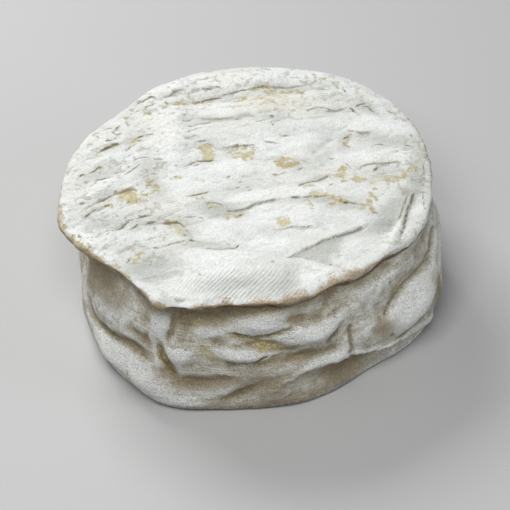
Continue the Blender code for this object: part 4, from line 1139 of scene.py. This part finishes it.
# the bare rind round the lip: angle, half-width, amount
LIP_TAN = [
    (190, 8, 0.7), (203, 8, 0.8), (216, 8, 0.8), (228, 8, 0.7), (240, 6, 0.5), (250, 7, 0.6), (261, 7, 0.85),
    (272, 7, 0.85), (282, 6, 0.7), (290, 6, 0.6), (300, 7, 0.7), (310, 7, 0.55), (322, 6, 0.35), (12, 9, 0.7),
    (30, 12, 0.5), (75, 12, 0.5), (120, 14, 0.5), (160, 12, 0.5),
]
# the dark brown line under the lip, partly painted shadow: angle, half-width, amount
LIP_DARK = [
    (208, 10, 0.5), (226, 9, 0.6), (238, 6, 0.5), (250, 5, 1.0), (262, 8, 1.0), (276, 8, 1.0), (290, 8, 0.5),
    (304, 8, 0.6), (318, 8, 0.9), (334, 9, 0.8), (350, 8, 0.6), (20, 10, 0.4), (60, 14, 0.5), (100, 14, 0.5),
    (145, 14, 0.5),
]
# brown under the rim, partly the rind's own brown and partly painted shade: angle, half-width, amount
LIP_SHELTER = [
    (225, 16, 0.5), (250, 8, 0.8), (266, 10, 0.85), (284, 9, 0.6), (302, 9, 0.5), (318, 8, 0.4), (20, 16, 0.5),
    (70, 20, 0.5), (120, 20, 0.5), (165, 20, 0.5),
]
# small dips and rises of the lip along the front: angle, half-width, how far out
LIP_WAVES = [(243.5, 2.6, 1.5), (249.5, 2.4, -1.2), (255.5, 2.6, 0.5), (264, 4.0, -0.7), (276, 4.0, -0.6),
             (283, 3.0, 0.5), (299, 6.0, -0.8), (307, 3.0, 0.5)]
LIP_SPAN = 12.0              # heights from the nose of the rim are kept over this many millimetres


def lip_marks(angle, down, z):
    """Height over the nose of the rim, the strengths of the tan line and of the dark line below it, partly a painted
    shadow, and the painted shade below that in the shelter of the rim.
    """
    rise = z - (RIM_HEIGHT + swell(angle, RIM_LIFTS))
    turn = np.radians(angle)
    ring = np.stack([np.cos(turn) * 58, np.sin(turn) * 58, z], -1)
    wander = 0.45 * noise(ring / 3.0, 91)
    near = (down > 0.02) & (down < 0.6)
    sheltered = smooth(-1.2, -2.6, rise + wander) * smooth(-9.0, -5.0, rise + wander)
    tan = np.clip(swell(angle, LIP_TAN) + 0.18 * noise(ring / 2.6, 93), 0, 1) * near
    dark = np.clip(swell(angle, LIP_DARK) + 0.25 * noise(ring / 2.0, 94), 0, 1) * near
    return 0.5 + (rise + wander) / LIP_SPAN, tan, dark, sheltered * np.clip(swell(angle, LIP_SHELTER), 0, 1)


def bake_map(place, down, angle, group):
    """Flat layout for baking: the top disc, the side in two strips, the underside disc."""
    scale = 0.0043
    rows = group.shape[1]
    x, y, z = (place[group][..., c] for c in range(3))
    d = down[group]
    a = angle[group]
    # angles of one face stay on one side of the seam
    a = np.where(a - a.max(1, keepdims=True) < -180.0, a + 360.0, a)
    middle = a.mean(1, keepdims=True)
    top_face = (d.max(1, keepdims=True) <= 0.0) * np.ones((1, rows), bool)
    base_face = (d.max(1, keepdims=True) > 1.5) * np.ones((1, rows), bool)
    half = (middle >= 180.0) * np.ones((1, rows), bool)
    start = np.where(half, 180.0, 0.0)
    length = 52.0
    u = 0.02 + (a - start) * ARC * 1.03 * scale
    v = 0.02 + np.clip(d, 0, 1) * length * scale + np.where(half, (length + 4.0) * scale, 0.0)
    u = np.where(top_face, 0.28 + x * scale, u)
    v = np.where(top_face, 0.74 + y * scale, v)
    u = np.where(base_face, 0.77 + x * scale * 0.8, u)
    v = np.where(base_face, 0.76 + y * scale * 0.8, v)
    return np.stack([u, v], -1)


def flat_place(place, down, angle, group):
    """Metres round and up the side, or across the top, with no jump inside a face."""
    a = angle[group]
    a = np.where(a - a.max(1, keepdims=True) < -180.0, a + 360.0, a)
    level = (down[group].max(1, keepdims=True) <= 0.0) * np.ones((1, group.shape[1]), bool)
    u = np.where(level, place[group][..., 0], a * ARC)
    v = np.where(level, place[group][..., 1], place[group][..., 2])
    return np.stack([u, v, np.where(level, 0.0, 90.0)], -1) * MM


def make_mesh(name):
    shaped, down, angle, faces, triangles, many, masks = make_wheel()
    box_middle = (shaped[:, :2].min(0) + shaped[:, :2].max(0)) / 2
    cad_middle = [(CAD_BOX[0][c] + CAD_BOX[1][c]) / 2 / MM for c in (0, 1)]
    shift = np.array([cad_middle[0] - box_middle[0], cad_middle[1] - box_middle[1], 0.0])

    polygons = []
    maps = []
    flats = []
    for group in faces + triangles:
        polygons += group.tolist()
        maps.append(bake_map(shaped, down, angle, group).reshape(-1, 2))
        flats.append(flat_place(shaped, down, angle, group).reshape(-1, 3))
    for corners in many:
        group = np.array([corners])
        polygons.append([int(c) for c in corners])
        maps.append(bake_map(shaped, down, angle, group).reshape(-1, 2))
        flats.append(flat_place(shaped, down, angle, group).reshape(-1, 3))
    mesh = bpy.data.meshes.new(name)
    mesh.from_pydata(((shaped + shift) * MM).tolist(), [], polygons)
    mesh.update()
    layer = mesh.uv_layers.new(name="OFBake")
    layer.data.foreach_set("uv", np.concatenate(maps).astype(np.float32).ravel())
    flat = mesh.attributes.new(name="flat", type="FLOAT_VECTOR", domain="CORNER")
    flat.data.foreach_set("vector", np.concatenate(flats).astype(np.float32).ravel())
    for key, channels in masks.items():
        attribute = mesh.color_attributes.new(name=key, type="FLOAT_COLOR", domain="POINT")
        attribute.data.foreach_set("color", np.stack(channels, -1).astype(np.float32).ravel())
    mesh.polygons.foreach_set("use_smooth", np.ones(len(mesh.polygons), bool))
    return mesh, Vector(shift) * MM


# ---------------------------------------------------------------------------------------
# Materials
# ---------------------------------------------------------------------------------------


class Nodes:
    """Short names for building a shader."""

    def __init__(self, name):
        self.material = bpy.data.materials.new(name)
        self.material.use_nodes = True
        self.tree = self.material.node_tree
        self.shader = self.tree.nodes["Principled BSDF"]

    def put(self, kind, settings=(), **inputs):
        node = self.tree.nodes.new(kind)
        for key, value in dict(settings).items():
            setattr(node, key, value)
        for key, value in inputs.items():
            self.plug(node.inputs[key.replace("_", " ")], value)
        return node

    def plug(self, socket, value):
        if isinstance(value, bpy.types.NodeSocket):
            self.tree.links.new(value, socket)
        elif isinstance(value, (tuple, list)) and len(value) == 3 and socket.type == "RGBA":
            socket.default_value = (*value, 1.0)
        else:
            socket.default_value = value

    def math(self, operation, a, b=0.0, c=0.0, clamp=False):
        node = self.put("ShaderNodeMath", {"operation": operation, "use_clamp": clamp})
        for k, value in enumerate((a, b, c)):
            self.plug(node.inputs[k], value)
        return node.outputs[0]

    def steps(self, value, low, high, out_low=0.0, out_high=1.0, soft=True):
        node = self.put("ShaderNodeMapRange", {"interpolation_type": "SMOOTHSTEP" if soft else "LINEAR"})
        for key, given in (("Value", value), ("From Min", low), ("From Max", high),
                           ("To Min", out_low), ("To Max", out_high)):
            self.plug(node.inputs[key], given)
        return node.outputs["Result"]

    def mix(self, factor, a, b, blend="MIX"):
        node = self.put("ShaderNodeMix", {"data_type": "RGBA", "blend_type": blend, "clamp_factor": True})
        self.plug(node.inputs[0], factor)
        self.plug(node.inputs[6], a)
        self.plug(node.inputs[7], b)
        return node.outputs[2]

    def noise(self, where, scale, detail=3.0, rough=0.55, warp=0.0):
        node = self.put("ShaderNodeTexNoise", Vector=where, Scale=scale, Detail=detail,
                        Roughness=rough, Distortion=warp)
        return node.outputs["Fac"]

    def parts(self, name):
        """The four channels of a mask kept on the mesh."""
        node = self.put("ShaderNodeAttribute", {"attribute_name": name})
        split = self.put("ShaderNodeSeparateColor", Color=node.outputs["Color"])
        return (*[split.outputs[k] for k in range(3)], node.outputs["Alpha"])


def srgb(r, g, b):
    return tuple(((c / 255 + 0.055) / 1.055) ** 2.4 if c > 10 else c / 255 / 12.92 for c in (r, g, b))


def rind_material():
    n = Nodes("bloomy_rind")
    where = n.put("ShaderNodeTexCoord").outputs["Object"]
    flat = n.put("ShaderNodeAttribute", {"attribute_name": "flat"}).outputs["Vector"]
    crease, force, brown, gritty = n.parts("creases")
    wear, tone, thin, pressed = n.parts("wear")
    side, proud, cream, stain_and_shade = n.parts("places")
    lip_height, lip_tan, lip_dark, lip_tone = n.parts("lip")

    broad = n.noise(where, 60, 3)
    middling = n.noise(where, 210, 4, 0.6)
    small = n.noise(where, 620, 3, 0.6)
    fine = n.noise(where, 1500, 2, 0.6)
    grain = n.noise(where, 3300, 1, 0.5)
    stretched = n.put("ShaderNodeMapping", Vector=where, Rotation=(0, 0, math.radians(-12)),
                      Scale=(0.35, 1.0, 1.0)).outputs[0]
    streaks = n.noise(stretched, 500, 3, 0.6, 0.4)
    # lines drawn by a wiped cloth: along the slant, across it fine
    slant = n.put("ShaderNodeMapping", Vector=flat, Rotation=(0, 0, math.radians(-54)),
                  Scale=(0.10, 1.0, 1.0)).outputs[0]
    wipes = n.noise(slant, 900, 2, 0.5, 0.3)

    def ragged(value, coarse, soft):
        """The value with its contours roughened, coarse and finer."""
        value = n.math("MULTIPLY_ADD", n.math("SUBTRACT", small, 0.5), coarse, value)
        return n.math("MULTIPLY_ADD", n.math("SUBTRACT", fine, 0.5), soft, value)

    # white bloom, a little creamier and greyer in places
    bloom = n.mix(n.steps(broad, 0.35, 0.7), srgb(236, 238, 236), srgb(232, 232, 226))
    bloom = n.mix(n.steps(middling, 0.45, 0.75, 0.0, 0.35), bloom, srgb(218, 220, 216))
    # painted shade: the broad grey from the top's painted-shade mask
    painted_shade_edge = n.math("MULTIPLY_ADD", n.math("SUBTRACT", middling, 0.5), 0.35, thin)
    bloom = n.mix(n.steps(ragged(painted_shade_edge, 0.25, 0.2), 0.05, 1.0), bloom, srgb(190, 192, 186))
    bloom = n.mix(n.math("MULTIPLY", cream, 0.55), bloom, srgb(226, 219, 198))
    bloom = n.mix(n.steps(streaks, 0.56, 0.72, 0.0, 0.35), bloom, srgb(198, 199, 190))
    # the side is thinner in bloom and also painted darker as shade: beige grey, whiter on what stands proud as painted
    # light, browner in hollows as painted shade
    bare_and_shaded = n.mix(n.steps(fine, 0.3, 0.7), srgb(166, 154, 128), srgb(140, 129, 106))
    worn = n.mix(n.steps(middling, 0.3, 0.7), srgb(192, 187, 170), srgb(207, 204, 191))
    dusted_and_lit = n.mix(n.steps(small, 0.3, 0.7), srgb(230, 231, 226), srgb(238, 239, 237))
    stand = n.math("MULTIPLY_ADD", n.math("SUBTRACT", middling, 0.5), 0.40, proud)
    stand = n.math("MULTIPLY_ADD", n.math("SUBTRACT", wipes, 0.5), n.math("MULTIPLY", side, 0.7), ragged(stand, 0.26, 0.17))
    wall = n.mix(n.steps(stand, 0.02, 0.5), bare_and_shaded, worn)
    wall = n.mix(n.steps(stand, 0.45, 0.88), wall, dusted_and_lit)
    skin = n.mix(side, bloom, wall)
    # painted shade: grey in the hollows, in full on the top and at half strength on the side
    hollow = n.math("MULTIPLY", n.steps(stand, 0.46, 0.08), n.math("MULTIPLY_ADD", side, -0.5, 0.5))
    skin = n.mix(hollow, skin, srgb(172, 173, 164))
    # brown in the valleys of the side and under the rim: partly the bare rind's own colour, partly painted shade
    stain_and_shade_edge = n.math("MULTIPLY_ADD", n.math("SUBTRACT", wipes, 0.5), 0.35, ragged(stain_and_shade, 0.55, 0.75))
    shaded = n.mix(n.steps(middling, 0.35, 0.65), srgb(158, 141, 114), srgb(138, 127, 96))
    skin = n.mix(n.steps(stain_and_shade_edge, 0.0, 1.0, 0.0, 0.92), skin, shaded)

    # worn places, with ragged edges
    wander = n.math("MULTIPLY_ADD", n.math("SUBTRACT", streaks, 0.5), 1.0, ragged(0.0, 1.3, 1.0))
    edge = n.math("MULTIPLY_ADD", wander, n.steps(wear, 0.12, 0.40), wear)
    pale = n.mix(n.steps(fine, 0.35, 0.65), srgb(216, 211, 172), srgb(196, 187, 142))
    deep = n.mix(n.steps(fine, 0.35, 0.65), srgb(160, 142, 94), srgb(192, 176, 126))
    mottled = n.math("MULTIPLY_ADD", n.math("SUBTRACT", small, 0.5), 1.6, tone)
    ochre = n.mix(n.steps(mottled, 0.30, 0.95), pale, deep)
    ochre = n.mix(n.math("MULTIPLY", n.steps(edge, 0.66, 0.50), 0.5), ochre, srgb(158, 138, 94))
    outer = n.math("MULTIPLY_ADD", side, -0.10, 0.44)
    inner = n.math("MULTIPLY_ADD", side, 0.14, 0.60)
    skin = n.mix(n.steps(edge, outer, inner, 0.0, 0.9), skin, ochre)

    # the lip: a soft tan band on its nose, and a dark brown line under that, partly a painted shadow
    rise = n.math("MULTIPLY", n.math("SUBTRACT", lip_height, 0.5), LIP_SPAN)
    rise = n.math("MULTIPLY_ADD", n.math("SUBTRACT", small, 0.5), 1.2, rise)
    rise = n.math("MULTIPLY_ADD", n.math("SUBTRACT", fine, 0.5), 1.0, rise)
    reach = n.math("MULTIPLY_ADD", lip_tan, 1.4, 0.2)
    middle = n.math("MULTIPLY_ADD", lip_tone, 0.8, 0.2)
    off = n.math("SUBTRACT", n.math("ABSOLUTE", n.math("ADD", rise, middle)), reach)
    band = n.math("MULTIPLY", n.steps(off, 0.4, -0.5), n.steps(lip_tan, 0.05, 0.5, 0.0, 1.0))
    band = n.math("MULTIPLY", band, n.steps(middling, 0.30, 0.55, 0.7, 1.0))
    sandy = n.mix(n.steps(small, 0.35, 0.65), srgb(204, 190, 158), srgb(180, 161, 122))
    rusty = n.mix(n.steps(small, 0.35, 0.65), srgb(166, 140, 108), srgb(134, 106, 74))
    skin = n.mix(band, skin, n.mix(lip_tone, sandy, rusty))
    off = n.math("ABSOLUTE", n.math("ADD", rise, 2.9))
    band = n.math("MULTIPLY", n.steps(off, 1.1, 0.4), n.steps(lip_dark, 0.1, 0.9, 0.0, 0.9))
    skin = n.mix(band, skin, srgb(92, 68, 48))

    # dirt and painted shade along the creases: a narrow dark line and a soft grey edge to it, browner where the crease
    # is marked brown
    line = ragged(crease, 0.45, 0.40)
    crease_dirt_and_shade = n.mix(brown, srgb(138, 134, 112), srgb(130, 110, 66))
    core = n.math("MULTIPLY", n.steps(line, 0.80, 0.88), force)
    halo = n.math("MULTIPLY", n.math("MULTIPLY", n.steps(line, 0.60, 0.88), force), 0.4)
    skin = n.mix(halo, skin, n.mix(brown, srgb(180, 178, 162), srgb(188, 174, 132)))
    skin = n.mix(core, skin, crease_dirt_and_shade)
    # coarse dark grit near the foot
    grit = n.math("MULTIPLY", n.steps(n.noise(where, 1150, 2, 0.6), 0.47, 0.60), n.math("MULTIPLY", gritty, side))
    skin = n.mix(n.math("MULTIPLY", grit, 0.8), skin, srgb(96, 90, 70))
    # the finest grain, light and dark
    # (calmer on the side where it stands proud and white)
    calm = n.steps(stand, 0.45, 0.95, 0.24, 0.14)
    depth = n.math("MULTIPLY_ADD", side, calm, 0.15)
    shade = n.math("MULTIPLY_ADD", n.steps(grain, 0.28, 0.72, -1.0, 1.0, soft=False), depth, 0.98)
    shade = n.math("MULTIPLY_ADD", n.steps(fine, 0.28, 0.72, -0.6, 0.6, soft=False), depth, shade)
    skin = n.mix(1.0, skin, shade, "MULTIPLY")

    # heights in millimetres
    rough = n.math("MULTIPLY_ADD", side, 1.9, 2.6)
    height = n.math("MULTIPLY", middling, n.math("MULTIPLY_ADD", side, 0.25, 0.35))
    fines = n.math("MULTIPLY", small, 0.12)
    for layer, share in ((fine, 0.14), (grain, 0.13)):
        fines = n.math("MULTIPLY_ADD", layer, share, fines)
    height = n.math("MULTIPLY_ADD", fines, rough, height)
    height = n.math("MULTIPLY_ADD", n.steps(edge, 0.42, 0.56), -0.08, height)
    height = n.math("MULTIPLY_ADD", n.steps(line, 0.74, 0.92), n.math("MULTIPLY", force, -0.45), height)
    crumple = n.math("MULTIPLY", n.math("MULTIPLY_ADD", side, -1.0, 1.0), gritty)
    height = n.math("MULTIPLY_ADD", streaks, n.math("MULTIPLY", crumple, 0.9), height)
    ridged = n.math("MULTIPLY", n.math("MULTIPLY", wipes, 0.9), n.math("MULTIPLY", side, pressed))
    ridges = n.put("ShaderNodeTexWave", {"wave_type": "BANDS", "bands_direction": "Y"}, Scale=255.0, Distortion=5.0,
                   Detail=1.0, Detail_Scale=0.30,
                   Vector=n.put("ShaderNodeMapping", Vector=where, Rotation=(0, 0, math.radians(-55))).outputs[0])
    print_share = n.math("MULTIPLY", n.math("MULTIPLY_ADD", side, -0.40, 0.40), pressed)
    height = n.math("ADD", height, ridged)
    height = n.math("MULTIPLY_ADD", ridges.outputs["Fac"], print_share, height)
    bump = n.put("ShaderNodeBump", Strength=1.0, Distance=MM, Height=height)
    n.plug(n.shader.inputs["Base Color"], skin)
    n.plug(n.shader.inputs["Normal"], bump.outputs[0])
    n.plug(n.shader.inputs["Roughness"], n.steps(edge, 0.42, 0.6, 0.9, 0.66))
    n.shader.inputs["Specular IOR Level"].default_value = 0.3
    n.shader.inputs["Sheen Weight"].default_value = 0.1
    n.shader.inputs["Sheen Roughness"].default_value = 0.5
    return n.material


def floor_material():
    n = Nodes("pale_floor")
    where = n.put("ShaderNodeTexCoord").outputs["Object"]
    tint = n.mix(n.noise(where, 3.0), (0.44, 0.44, 0.44), (0.48, 0.48, 0.475))
    n.plug(n.shader.inputs["Base Color"], tint)
    n.shader.inputs["Roughness"].default_value = 0.7
    return n.material


# ---------------------------------------------------------------------------------------
# The scene
# ---------------------------------------------------------------------------------------

scene = bpy.context.scene
scene.view_settings.view_transform = "Standard"

mesh, moved = make_mesh("cheese_rind")
wheel = bpy.data.objects.new("cheese_rind", mesh)
scene.collection.objects.link(wheel)
wheel.data.materials.append(rind_material())
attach(wheel, "root")
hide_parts(NODE)

floor_mesh = bpy.data.meshes.new("floor")
REACH = 4.0
floor_mesh.from_pydata([(-REACH, -REACH, 0), (REACH, -REACH, 0), (REACH, REACH, 0), (-REACH, REACH, 0)], [],
                       [(0, 1, 2, 3)])
floor = bpy.data.objects.new("floor", floor_mesh)
floor.location.z = -0.0002
scene.collection.objects.link(floor)
floor.data.materials.append(floor_material())


def softbox(name, place, target, size, watts, colour=(1, 1, 1)):
    light = bpy.data.lights.new(name, "AREA")
    light.shape = "RECTANGLE"
    light.size, light.size_y = size
    light.energy = watts
    light.color = colour
    lamp = bpy.data.objects.new(name, light)
    lamp.location = place
    lamp.rotation_euler = (Vector(target) - Vector(place)).to_track_quat("-Z", "Y").to_euler()
    scene.collection.objects.link(lamp)


softbox("back", (-0.30, 0.44, 0.50), (0, 0, 0.03), (0.36, 0.28), 4.15)
softbox("front", (-0.10, -0.38, 0.66), (0, 0, 0.03), (0.40, 0.36), 3.75)
softbox("left", (-0.80, -0.12, 0.30), (0, 0, 0.02), (0.4, 0.4), 0.6)
softbox("right", (0.80, -0.22, 0.30), (0, 0, 0.02), (0.4, 0.4), 2.0, (0.94, 0.97, 1.0))

world = bpy.data.worlds.new("studio")
world.use_nodes = True
world.node_tree.nodes["Background"].inputs["Color"].default_value = (0.9, 0.92, 0.95, 1)
world.node_tree.nodes["Background"].inputs["Strength"].default_value = 0.10
scene.world = world

# the camera stands a metre off, 41.5 degrees above the table, on the wheel's front
ELEVATION = math.radians(41.5)
DISTANCE = 1.0
aim = Vector((2.6, 0.0, 12.6)) * MM + moved
camera_data = bpy.data.cameras.new("camera")
camera_data.sensor_width = 36.0
camera_data.lens = 218.1
camera_data.clip_end = 20.0
camera = bpy.data.objects.new("camera", camera_data)
camera.location = aim + DISTANCE * Vector((0, -math.cos(ELEVATION), math.sin(ELEVATION)))
camera.rotation_euler = (math.radians(90) - ELEVATION, 0, 0)
scene.collection.objects.link(camera)
scene.camera = camera
